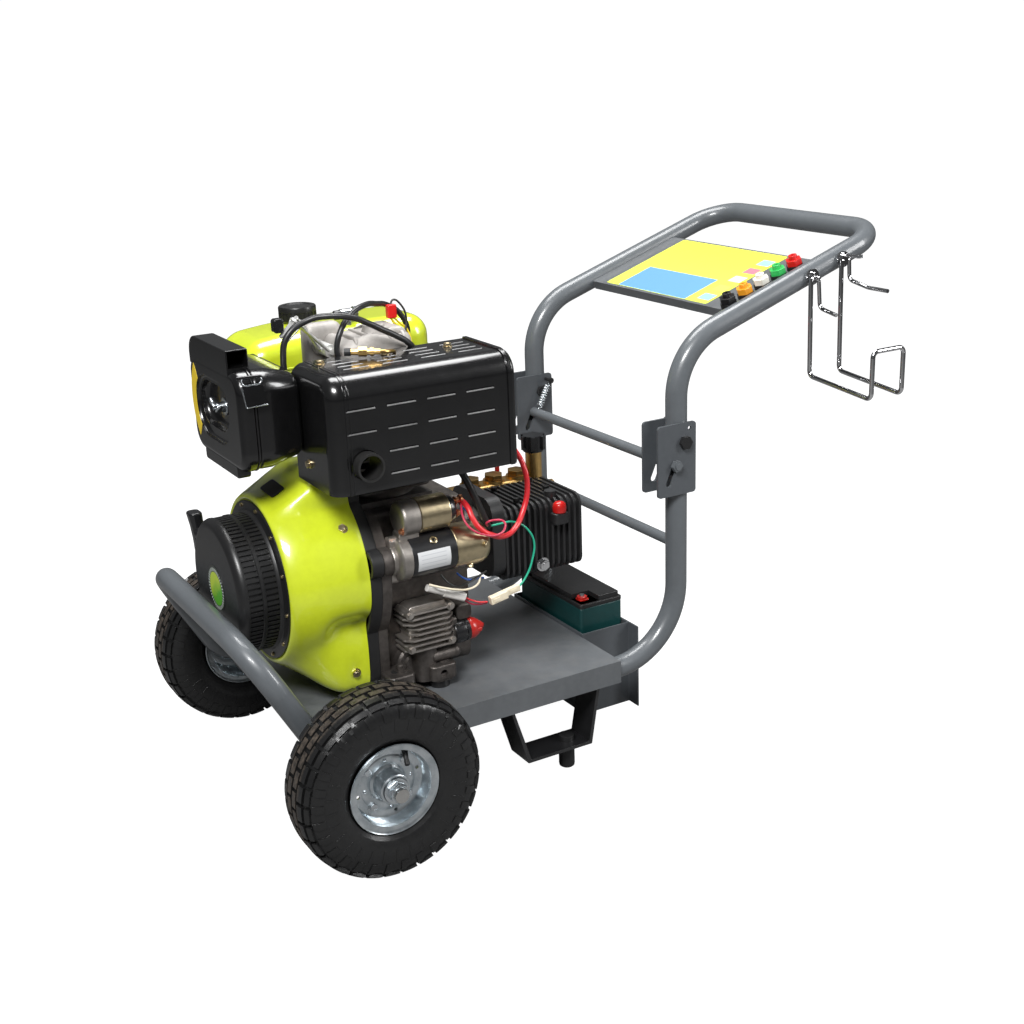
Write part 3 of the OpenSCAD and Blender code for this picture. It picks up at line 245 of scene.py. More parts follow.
@dataclass(frozen=True)
class Finish:
    """The look of one kind of surface.

    Attributes:
        name: The material's name.
        skin: What the surface is made of.
        colour: Its colour, in linear light.
        roughness: How dull it is.
        metallic: 1 for bare metal.
        coat: Strength of a clear coat.
        grain: Size of the fine texture in millimetres.
        depth: Depth of the fine texture in millimetres.
        mottle: How much the colour wanders, as a share.
        dust: How much pale dust lies on faces that look up.
        sway: Depth of slow waves in sheet metal, in millimetres.
    """

    name: str
    skin: Skin
    colour: Colour
    roughness: float
    metallic: float = 0.0
    coat: float = 0.0
    grain: float = 1.5
    depth: float = 0.02
    mottle: float = 0.12
    dust: float = 0.0
    sway: float = 0.0

    def shades(self) -> tuple[Colour, Colour]:
        """The darkest and the lightest tone that the colour wanders between."""
        dark, light = 1.0 - self.mottle, 1.0 + self.mottle
        return (tuple(c * dark for c in self.colour), tuple(min(1.0, c * light) for c in self.colour))

    def lay(self) -> Paint:
        """Builds the material's nodes.

        Returns:
            The paint, whose material pieces carry.
        """
        paint = Paint(self.name)
        cloud = paint.noise(60.0, 4.0)
        patch = paint.noise(9.0, 5.0, seed=3.7)
        dark, light = self.shades()
        tone = paint.blend((cloud * 0.6 + patch * 0.4).step(0.32, 0.68), dark, light)
        rough = self.roughness + (patch - 0.5) * (0.18 * self.roughness) + (cloud - 0.5) * 0.06
        if self.dust:
            powder = paint.facing_up() * paint.noise(22.0, 6.0, 0.7, seed=8.1).step(0.38, 0.72) * self.dust
            tone = paint.blend(powder, tone, DUST_COLOUR)
            rough = rough + powder * 0.3
        paint.set(Base_Color=tone, Roughness=rough.higher(0.03), Metallic=self.metallic)
        paint.set(Coat_Weight=self.coat, Coat_Roughness=COAT_ROUGHNESS)
        paint.set(Normal=self._relief(paint))
        if self.skin is Skin.PLATED:
            paint.set(Anisotropic=0.25)
        return paint

    def _relief(self, paint: Paint) -> Wave:
        """The normal: slow waves of the sheet under the skin's own texture."""
        under = paint.bump(paint.noise(70.0, 1.0, seed=5.5), self.sway) if self.sway else None
        if self.skin is Skin.CASTING:
            height = paint.noise(self.grain, 5.0, 0.65) + paint.pits(self.grain * 0.8) * 0.6
        elif self.skin is Skin.PLASTIC:
            height = paint.pits(self.grain)
        elif self.skin is Skin.RUBBER:
            height = paint.noise(self.grain, 4.0, 0.6) + paint.noise(self.grain * 6.0, 2.0, seed=2.0) * 0.8
        else:
            height = paint.noise(self.grain, 2.0, 0.5)
        return paint.bump(height, self.depth, under)


DUST_COLOUR = (0.36, 0.33, 0.28)
COAT_ROUGHNESS = 0.07


def gloss(name: str, colour: Colour, roughness: float, coat: float = 0.3) -> Finish:
    """Smooth coloured plastic."""
    return Finish(name, Skin.PLASTIC, colour, roughness, coat=coat, grain=1.6, depth=0.01)


def sheath(name: str, colour: Colour, roughness: float = 0.36, coat: float = 0.2) -> Finish:
    """The smooth skin of a wire."""
    return Finish(name, Skin.RUBBER, colour, roughness, coat=coat, grain=2.0, depth=0.01)


FRAME_GREY = Finish("frame_grey", Skin.PAINT, (0.105, 0.115, 0.124), 0.34, coat=0.35, grain=2.2, depth=0.03,
                    mottle=0.05)
DECK_GREY = Finish("deck_grey", Skin.PAINT, (0.098, 0.105, 0.112), 0.42, coat=0.15, grain=1.4, depth=0.03,
                   mottle=0.1, dust=0.06, sway=0.35)
BRACKET_GREY = Finish("bracket_grey", Skin.PAINT, (0.07, 0.077, 0.085), 0.4, coat=0.2, grain=1.6, depth=0.04,
                      mottle=0.06)
STRAP_BLACK = Finish("strap_black", Skin.PAINT, (0.012, 0.012, 0.013), 0.32, coat=0.5, grain=2.0, depth=0.03)
SHIELD_BLACK = Finish("shield_black", Skin.PAINT, (0.0045, 0.0045, 0.0048), 0.24, coat=0.5, grain=1.8,
                      depth=0.02, mottle=0.2, sway=0.5)
# Light grey for the lips under the shield's slots: a painted highlight for the light that the rolled lips
# catch.
SLOT_LIP_HIGHLIGHT = Finish("painted_lip_highlight", Skin.PAINT, (0.34, 0.34, 0.34), 0.3, 0.6, grain=2.0, depth=0.01, mottle=0.3)
PIPE_BLACK = Finish("pipe_black", Skin.PAINT, (0.01, 0.0098, 0.0095), 0.55, grain=1.2, depth=0.08, mottle=0.3)
LIME = Finish("lime_paint", Skin.PAINT, (0.53, 0.62, 0.022), 0.3, coat=1.0, grain=3.0, depth=0.025,
              mottle=0.05, sway=0.3)
SATIN_BLACK = Finish("satin_black", Skin.PLASTIC, (0.012, 0.012, 0.0125), 0.34, grain=0.9, depth=0.02,
                     mottle=0.1, dust=0.02)
DEEP_BLACK = Finish("deep_black", Skin.PLASTIC, (0.009, 0.009, 0.01), 0.28, coat=0.2, grain=1.1, depth=0.02)
SEAL_RUBBER = Finish("seal_rubber", Skin.RUBBER, (0.010, 0.010, 0.0105), 0.5, grain=1.5, depth=0.06)
HOSE_RUBBER = Finish("hose_rubber", Skin.RUBBER, (0.016, 0.016, 0.017), 0.36, grain=1.2, depth=0.02)
CAST = Finish("cast_aluminium", Skin.CASTING, (0.40, 0.37, 0.34), 0.4, 0.9, grain=1.3, depth=0.16,
              mottle=0.2, dust=0.05)
# A darker copy of the cast aluminium: painted shade for the crankcase and the near castings, which sit in
# shadow.
CAST_DARK = Finish("cast_aluminium_shaded", Skin.CASTING, (0.115, 0.103, 0.095), 0.44, 0.8, grain=1.6,
                   depth=0.2, mottle=0.35, dust=0.05)
MACHINED = Finish("machined_steel", Skin.PLATED, (0.56, 0.55, 0.53), 0.24, 1.0, grain=0.8, depth=0.01)
ZINC = Finish("bright_zinc", Skin.PLATED, (0.62, 0.655, 0.68), 0.26, 1.0, grain=4.0, depth=0.008, mottle=0.16)
GOLD_ZINC = Finish("gold_zinc", Skin.PLATED, (0.60, 0.50, 0.32), 0.3, 1.0, grain=3.0, depth=0.003,
                   mottle=0.18)
CHROME = Finish("chrome", Skin.PLATED, (0.72, 0.72, 0.73), 0.07, 1.0, grain=5.0, depth=0.01, mottle=0.05)
BRASS = Finish("brass", Skin.CASTING, (0.80, 0.52, 0.19), 0.3, 1.0, grain=1.0, depth=0.07, mottle=0.2)
BRASS_DARK = Finish("aged_brass", Skin.CASTING, (0.30, 0.19, 0.07), 0.36, 0.9, grain=1.0, depth=0.07,
                    mottle=0.3)
BRIGHT_STAMPING = Finish("bright_stamping", Skin.PLATED, (0.72, 0.72, 0.70), 0.42, 0.7, grain=2.0, depth=0.01)
CAST_SATIN = Finish("satin_casting", Skin.CASTING, (0.37, 0.35, 0.33), 0.62, 0.45, grain=1.2, depth=0.04,
                    mottle=0.2)
COPPER = Finish("copper", Skin.PLATED, (0.66, 0.3, 0.16), 0.3, 1.0, grain=1.0, depth=0.02)
IRON_BLACK = Finish("iron_black", Skin.CASTING, (0.02, 0.02, 0.021), 0.45, grain=1.4, depth=0.14, mottle=0.2,
                    coat=0.15)
CAST_IRON = Finish("cast_iron", Skin.CASTING, (0.09, 0.085, 0.08), 0.6, 0.6, grain=1.5, depth=0.2, mottle=0.3)
FOAM = Finish("filter_foam", Skin.CASTING, (0.5, 0.4, 0.24), 0.9, grain=2.2, depth=0.8, mottle=0.15)
CASE_GREEN = Finish("battery_green", Skin.PLASTIC, (0.004, 0.038, 0.038), 0.4, grain=0.7, depth=0.03)
LID_BLACK = Finish("battery_black", Skin.PLASTIC, (0.012, 0.012, 0.0125), 0.42, grain=0.8, depth=0.05)
RED = gloss("red_plastic", (0.6, 0.012, 0.01), 0.3)
DEEP_RED = gloss("deep_red_plastic", (0.38, 0.012, 0.008), 0.32)
WIRE_RED = sheath("wire_red", (0.62, 0.02, 0.028), 0.34)
WIRE_PINK = sheath("wire_pink", (0.5, 0.03, 0.075))
WIRE_GREEN = sheath("wire_green", (0.02, 0.38, 0.23))
WIRE_YELLOW = sheath("wire_yellow", (0.8, 0.62, 0.02))
WIRE_BLUE = sheath("wire_blue", (0.02, 0.08, 0.34))
WIRE_BLACK = sheath("wire_black", (0.012, 0.012, 0.012), 0.38, 0.0)
ORANGE = gloss("orange_plastic", (0.83, 0.33, 0.02), 0.33)
WHITE = gloss("white_plastic", (0.72, 0.70, 0.62), 0.35, 0.2)
GREEN = gloss("green_plastic", (0.03, 0.42, 0.09), 0.33)
CREAM = gloss("cream_nylon", (0.74, 0.66, 0.5), 0.42, 0.0)
CLEAR = gloss("milky_nylon", (0.6, 0.58, 0.55), 0.3)
STICKER_YELLOW = Finish("yellow_sticker", Skin.PLASTIC, (0.83, 0.6, 0.03), 0.35, grain=3.0, depth=0.005,
                        mottle=0.03)


class PaintShop:
    """Mixes each finish once and hands out its material."""

    def __init__(self) -> None:
        """Starts with no paint mixed."""
        self.mixed: dict[str, bpy.types.Material] = {}

    def material(self, finish: Finish) -> bpy.types.Material:
        """The material of a finish, made when it is first asked for."""
        if finish.name not in self.mixed:
            self.mixed[finish.name] = finish.lay().material
        return self.mixed[finish.name]

    def keep(self, paint: Paint) -> bpy.types.Material:
        """Keeps a special paint under its own name."""
        self.mixed[paint.material.name] = paint.material
        return paint.material


# --- the bench


class Bench:
    """Shapes pieces with mesh operators, in millimetres, and sets them into the frame."""

    def __init__(self, shop: PaintShop) -> None:
        """Finds the middle of the axle, from which all places are measured."""
        low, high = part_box("axle")
        middle = (low + high) / 2
        self.origin = Vector((middle.x, middle.y, 0.0))
        self.shop = shop
        self.made = 0

    def span(self, node: str) -> tuple[Vector, Vector]:
        """A solid's lowest and highest corners, in the bench's millimetres."""
        low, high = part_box(node)
        return (low - self.origin) / MM, (high - self.origin) / MM

    @staticmethod
    def hold(*pieces: Piece) -> None:
        """Leaves edit mode and selects only the pieces given, the first of them active."""
        if bpy.context.mode != "OBJECT":
            bpy.ops.object.mode_set(mode="OBJECT")
        bpy.ops.object.select_all(action="DESELECT")
        for piece in pieces:
            piece.select_set(True)
        if pieces:
            bpy.context.view_layer.objects.active = pieces[0]

    def _started(self, name: str) -> Piece:
        """Names a new primitive and moves its place into its mesh."""
        piece = bpy.context.object
        piece.name = piece.data.name = name
        bpy.ops.object.transform_apply(location=True, rotation=True, scale=True)
        return piece

    def block(self, name: str, low: Sequence[float], high: Sequence[float]) -> Piece:
        """A box between two corners."""
        self.hold()
        low, high = Vector(low), Vector(high)
        bpy.ops.mesh.primitive_cube_add(size=1.0, location=(low + high) / 2, scale=high - low)
        return self._started(name)

    def rod(self, name: str, start: Sequence[float], end: Sequence[float], radius: float,
            sides: int = 40, tip: float | None = None) -> Piece:
        """A round or many-sided bar between two points, tapered if a tip radius is given."""
        self.hold()
        start, end = Vector(start), Vector(end)
        turn = (end - start).to_track_quat("Z", "Y").to_euler()
        bpy.ops.mesh.primitive_cone_add(vertices=sides, radius1=radius,
                                        radius2=radius if tip is None else tip,
                                        depth=(end - start).length, location=(start + end) / 2, rotation=turn)
        return self._started(name)

    def ball(self, name: str, centre: Sequence[float], radius: float) -> Piece:
        """A sphere, to be shaped further."""
        self.hold()
        bpy.ops.mesh.primitive_uv_sphere_add(segments=24, ring_count=14, radius=radius, location=centre)
        return self._started(name)

    def lathe(self, name: str, centre: Sequence[float], axis: Sequence[float],
              profile: Sequence[tuple[float, float]], steps: int = 96) -> Piece:
        """Spins an outline about an axis.

        Args:
            name: The piece's name.
            centre: The point on the axis from which the outline is measured.
            axis: The axis's direction.
            profile: The outline as (distance along the axis, radius) pairs.
            steps: Faces round the turn.

        Returns:
            The closed piece.
        """
        along = Vector(axis).normalized()
        out = along.orthogonal().normalized()
        spots = [Vector(centre) + along * far + out * radius for far, radius in profile]
        self.hold()
        bpy.ops.mesh.primitive_plane_add(size=1.0, location=spots[0])
        piece = self._started(name)
        bpy.ops.object.mode_set(mode="EDIT")
        bpy.ops.mesh.select_mode(type="VERT")
        bpy.ops.mesh.select_all(action="SELECT")
        bpy.ops.mesh.merge(type="CENTER")
        for before, after in zip(spots, spots[1:]):
            bpy.ops.mesh.extrude_region_move(TRANSFORM_OT_translate={"value": after - before})
        bpy.ops.mesh.select_all(action="SELECT")
        bpy.ops.mesh.spin(steps=steps, angle=math.tau, center=Vector(centre), axis=along)
        self.heal(piece)
        return piece

    def _open(self, piece: Piece) -> None:
        """Enters edit mode with the whole piece selected."""
        self.hold(piece)
        bpy.ops.object.mode_set(mode="EDIT")
        bpy.ops.mesh.select_all(action="SELECT")

    def heal(self, piece: Piece, gap: float = 0.01) -> None:
        """Merges doubled points and turns all faces outwards."""
        self._open(piece)
        bpy.ops.mesh.remove_doubles(threshold=gap)
        bpy.ops.mesh.normals_make_consistent(inside=False)
        self.hold(piece)

    def pick_faces(self, piece: Piece, test: PlaceTest) -> int:
        """Enters edit mode with the faces selected whose centre and normal pass a test."""
        self.hold(piece)
        bpy.ops.object.mode_set(mode="EDIT")
        bpy.ops.mesh.select_mode(type="FACE")
        bpy.ops.mesh.select_all(action="DESELECT")
        bpy.ops.object.mode_set(mode="OBJECT")
        found = 0
        for face in piece.data.polygons:
            face.select = test(face.center, face.normal)
            found += face.select
        bpy.ops.object.mode_set(mode="EDIT")
        return found

    def pick_edges(self, piece: Piece, test: PlaceTest) -> int:
        """Enters edit mode with the edges selected whose two ends pass a test."""
        self.hold(piece)
        bpy.ops.object.mode_set(mode="EDIT")
        bpy.ops.mesh.select_mode(type="EDGE")
        bpy.ops.mesh.select_all(action="DESELECT")
        bpy.ops.object.mode_set(mode="OBJECT")
        spots = piece.data.vertices
        found = 0
        for edge in piece.data.edges:
            edge.select = test(spots[edge.vertices[0]].co, spots[edge.vertices[1]].co)
            found += edge.select
        bpy.ops.object.mode_set(mode="EDIT")
        return found

    def round_edges(self, piece: Piece, width: float, segments: int, test: PlaceTest) -> None:
        """Bevels the edges whose ends pass a test."""
        if self.pick_edges(piece, test):
            bpy.ops.mesh.bevel(offset=width, segments=segments, affect="EDGES", clamp_overlap=True)
        self.hold(piece)

    def push(self, piece: Piece, test: PlaceTest, depth: float, inset: float = 0.0,
             each: bool = False) -> None:
        """Insets the faces that pass a test and moves them along their normals."""
        if self.pick_faces(piece, test):
            if inset:
                bpy.ops.mesh.inset(thickness=inset, use_individual=each)
            if each:
                bpy.ops.mesh.extrude_faces_move(TRANSFORM_OT_shrink_fatten={"value": depth})
            else:
                bpy.ops.mesh.extrude_region_shrink_fatten(TRANSFORM_OT_shrink_fatten={"value": depth})
        self.hold(piece)

    def split(self, piece: Piece, cuts: int) -> None:
        """Subdivides every face."""
        self._open(piece)
        bpy.ops.mesh.subdivide(number_cuts=cuts)
        self.hold(piece)

    def slice(self, piece: Piece, point: Sequence[float], normal: Sequence[float]) -> None:
        """Cuts new edges where a plane crosses the piece."""
        self._open(piece)
        bpy.ops.mesh.bisect(plane_co=point, plane_no=normal)
        self.hold(piece)

    def sculpt(self, piece: Piece, move: Callable[[Vector], Vector]) -> None:
        """Moves every point of a piece by a rule."""
        self.hold(piece)
        for vertex in piece.data.vertices:
            vertex.co = move(vertex.co.copy())
        piece.data.update()

    def modify(self, piece: Piece, kind: str, **settings: Any) -> None:
        """Adds a modifier and applies it."""
        self.hold(piece)
        modifier = piece.modifiers.new(kind.lower(), kind)
        for key, value in settings.items():
            setattr(modifier, key, value)
        bpy.ops.object.modifier_apply(modifier=modifier.name)

    def soften(self, piece: Piece, width: float, segments: int = 2, angle: float = 34.0) -> None:
        """Rounds every edge sharper than an angle."""
        self.modify(piece, "BEVEL", width=width, segments=segments, limit_method="ANGLE",
                    angle_limit=math.radians(angle), miter_outer="MITER_ARC")

    def join(self, name: str, pieces: Sequence[Piece]) -> Piece:
        """Makes one piece of several."""
        self.hold(*pieces)
        if len(pieces) > 1:
            bpy.ops.object.join()
        pieces[0].name = pieces[0].data.name = name
        return pieces[0]

    def cut(self, piece: Piece, tool: Piece, operation: str = "DIFFERENCE") -> None:
        """Cuts a tool out of a piece, or joins the two solids in one skin."""
        self.modify(piece, "BOOLEAN", object=tool, operation=operation, solver="EXACT")
        bpy.data.objects.remove(tool)

    def cord(self, name: str, route: Sequence[Sequence[float]], radius: float, smooth: bool = True) -> Piece:
        """A round wire through a list of points, as a closed mesh."""
        self.hold()
        line = bpy.data.curves.new(name, "CURVE")
        line.dimensions = "3D"
        line.bevel_depth = radius
        line.bevel_resolution = 4
        line.use_fill_caps = True
        line.resolution_u = 14
        spline = line.splines.new("BEZIER" if smooth else "POLY")
        stops = spline.bezier_points if smooth else spline.points
        stops.add(len(route) - 1)
        for stop, spot in zip(stops, route):
            if smooth:
                stop.co = spot
                stop.handle_left_type = stop.handle_right_type = "AUTO"
            else:
                stop.co = (*spot, 1.0)
        piece = bpy.data.objects.new(name, line)
        bpy.context.scene.collection.objects.link(piece)
        self.hold(piece)
        bpy.ops.object.convert(target="MESH")
        piece = bpy.context.object
        self.heal(piece)
        return piece

    def copy_of(self, node: str, name: str, width: float = 0.0, segments: int = 2) -> Piece:
        """A copy of a solid on the bench, merged into clean faces and with its edges rounded.

        Args:
            node: The solid's name.
            name: The copy's name.
            width: Width of the rounding in millimetres, or 0 for none.
            segments: Steps of the rounding.

        Returns:
            The copy, in millimetres.
        """
        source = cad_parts[node]
        piece = bpy.data.objects.new(name, source.data.copy())
        bpy.context.scene.collection.objects.link(piece)
        to_bench = Matrix.Scale(1.0 / MM, 4) @ Matrix.Translation(-self.origin)
        piece.data.transform(to_bench)
        piece.data.materials.clear()
        self.heal(piece, 0.002)
        self.hold(piece)
        bpy.ops.mesh.customdata_custom_splitnormals_clear()
        self._open(piece)
        bpy.ops.mesh.dissolve_limited(angle_limit=math.radians(0.6))
        self.hold(piece)
        if width:
            self.soften(piece, width, segments)
        return piece

    def fit(self, piece: Piece, finish: Finish | bpy.types.Material, slot: str, *nodes: str,
            body: str = "chassis", angle: float = 38.0) -> Piece:
        """Shades a piece, sets it into the frame and makes it ride.

        Args:
            piece: The piece on the bench.
            finish: Its finish or a material of its own.
            slot: The record's material slot; it is not used.
            nodes: The solids that it stands for.
            body: The body that it moves with, or nothing for a piece that spans two bodies and rides on
                neither.
            angle: Edges sharper than this stay sharp.

        Returns:
            The piece, in metres.
        """
        self.hold(piece)
        bpy.ops.object.shade_smooth_by_angle(angle=math.radians(angle))
        self.modify(piece, "WEIGHTED_NORMAL", keep_sharp=True)
        piece.data.transform(Matrix.Translation(self.origin) @ Matrix.Scale(MM, 4))
        material = self.shop.material(finish) if isinstance(finish, Finish) else finish
        piece.data.materials.clear()
        piece.data.materials.append(material)
        if body:
            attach(piece, body)
        if nodes:
            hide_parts(*nodes)
        self.made += 1
        LOG.info("%s rides on %s", piece.name, body)
        return piece

    def clad(self, node: str, name: str, finish: Finish, slot: str, width: float = 0.0, segments: int = 2,
             body: str = "chassis", angle: float = 38.0) -> Piece:
        """Fits a rounded copy of a solid in the solid's place."""
        return self.fit(self.copy_of(node, name, width, segments), finish, slot, node, body=body, angle=angle)

    def weld(self, name: str, parts: Sequence[Piece], finish: Finish, slot: str, *nodes: str,
             body: str = "chassis", angle: float = 38.0) -> Piece:
        """Joins parts of one finish and fits them as one piece."""
        return self.fit(self.join(name, parts), finish, slot, *nodes, body=body, angle=angle)

    def bolt(self, name: str, head: Sequence[float], out: Sequence[float], flats: float,
             height: float) -> Piece:
        """A hexagon head with a washer and a chamfered top.

        Args:
            name: The piece's name.
            head: The point where the washer meets its seat.
            out: The direction in which the head stands.
            flats: Width across the flats.
            height: Height of the head.

        Returns:
            The joined head and washer.
        """
        seat, away = Vector(head), Vector(out).normalized()
        thick = height * 0.22
        washer = self.rod(name, seat, seat + away * thick, flats * 0.72, 28)
        top = self.rod(name, seat + away * thick, seat + away * height, flats / math.sqrt(3.0), 6)
        self.soften(top, flats * 0.05)
        dome = self.rod(name, seat + away * (height * 0.9), seat + away * height * 1.06, flats * 0.42, 20,
                        flats * 0.3)
        return self.join(name, [washer, top, dome])


# --- the studio


@dataclass
class Studio:
    """The pale floor, the soft lights and the camera.

    Attributes:
        stand: Where the camera stands, in metres.
        azimuth: Its turn about Z, in degrees.
        elevation: How far it looks down, in degrees.
        roll: How far it leans, in degrees.
        lens: Its focal length in millimetres.
        floor_size: Side of the floor in metres.
    """

    stand: Point = (-1.0577, -1.7907, 1.0457)
    azimuth: float = -29.84
    elevation: float = 18.55
    roll: float = -2.15
    lens: float = 49.82
    floor_size: float = 60.0

    def build(self) -> None:
        """Sets the camera, the lights, the sky and the floor."""
        self._camera()
        self._light("key_softbox", (-1.5, -1.5, 2.3), (0.0, 0.0, 0.35), (1.0, 0.7), 92.0)
        self._light("rim_softbox", (1.7, -1.6, 1.5), (0.1, 0.0, 0.4), (0.6, 1.2), 36.0)
        self._light("top_softbox", (0.1, 0.5, 2.6), (0.0, 0.0, 0.3), (1.8, 1.0), 68.0)
        self._sky(1.05, 0.13)
        bpy.context.scene.view_settings.view_transform = "Standard"
        self._floor()

    def _camera(self) -> None:
        """Makes the camera from its stand, its aim and its roll."""
        turn, tilt, lean = (math.radians(a) for a in (self.azimuth, self.elevation, self.roll))
        back = Vector((math.sin(turn) * math.cos(tilt), -math.cos(turn) * math.cos(tilt), math.sin(tilt)))
        right = Vector((math.cos(turn), math.sin(turn), 0.0))
        up = back.cross(right)
        across = math.cos(lean) * right + math.sin(lean) * up
        upright = -math.sin(lean) * right + math.cos(lean) * up
        bpy.ops.object.camera_add(location=self.stand)
        camera = bpy.context.object
        camera.name = "front_camera"
        camera.data.lens = self.lens
        camera.data.sensor_width = 36.0
        facing = Matrix((across, upright, back)).transposed()
        camera.matrix_world = Matrix.Translation(self.stand) @ facing.to_4x4()
        bpy.context.scene.camera = camera

    @staticmethod
    def _light(name: str, place: Point, aim: Point, size: tuple[float, float], power: float) -> None:
        """Adds one softbox that looks at a point."""
        bpy.ops.object.light_add(type="AREA", location=place)
        light = bpy.context.object
        light.name = name
        light.data.shape = "RECTANGLE"
        light.data.size, light.data.size_y = size
        light.data.energy = power
        light.rotation_euler = (Vector(place) - Vector(aim)).to_track_quat("Z", "Y").to_euler()

    @staticmethod
    def _sky(shown: float, cast: float) -> None:
        """Shows a white backdrop, and lights the machine with a dimmer one.

        Args:
            shown: Brightness of the backdrop that the camera sees.
            cast: Brightness that falls on the machine and shows in its gloss.
        """
        world = bpy.data.worlds.new("pale_sky")
        world.use_nodes = True
        tree = world.node_tree
        background = tree.nodes["Background"]
        background.inputs["Color"].default_value = (0.96, 0.98, 1.0, 1.0)
        rays = tree.nodes.new("ShaderNodeLightPath")
        level = tree.nodes.new("ShaderNodeMapRange")
        level.inputs["To Min"].default_value = cast
        level.inputs["To Max"].default_value = shown
        tree.links.new(rays.outputs["Is Camera Ray"], level.inputs["Value"])
        tree.links.new(level.outputs["Result"], background.inputs["Strength"])
        bpy.context.scene.world = world

    def _floor(self) -> None:
        """Lays the pale floor, which the camera sees nearly white."""
        bpy.ops.mesh.primitive_plane_add(size=self.floor_size, location=(0.0, 0.0, 0.0))
        floor = bpy.context.object
        floor.name = "studio_floor"
        paint = Paint("pale_floor")
        tone = paint.blend(paint.noise(900.0, 2.0), (0.15, 0.15, 0.15), (0.17, 0.17, 0.17))
        seen = paint.node("ShaderNodeLightPath", output="Is Camera Ray")
        paint.set(Base_Color=tone, Roughness=0.8, Emission_Color=(1.0, 1.0, 1.0), Emission_Strength=seen)
        floor.data.materials.append(paint.material)


# --- trolley


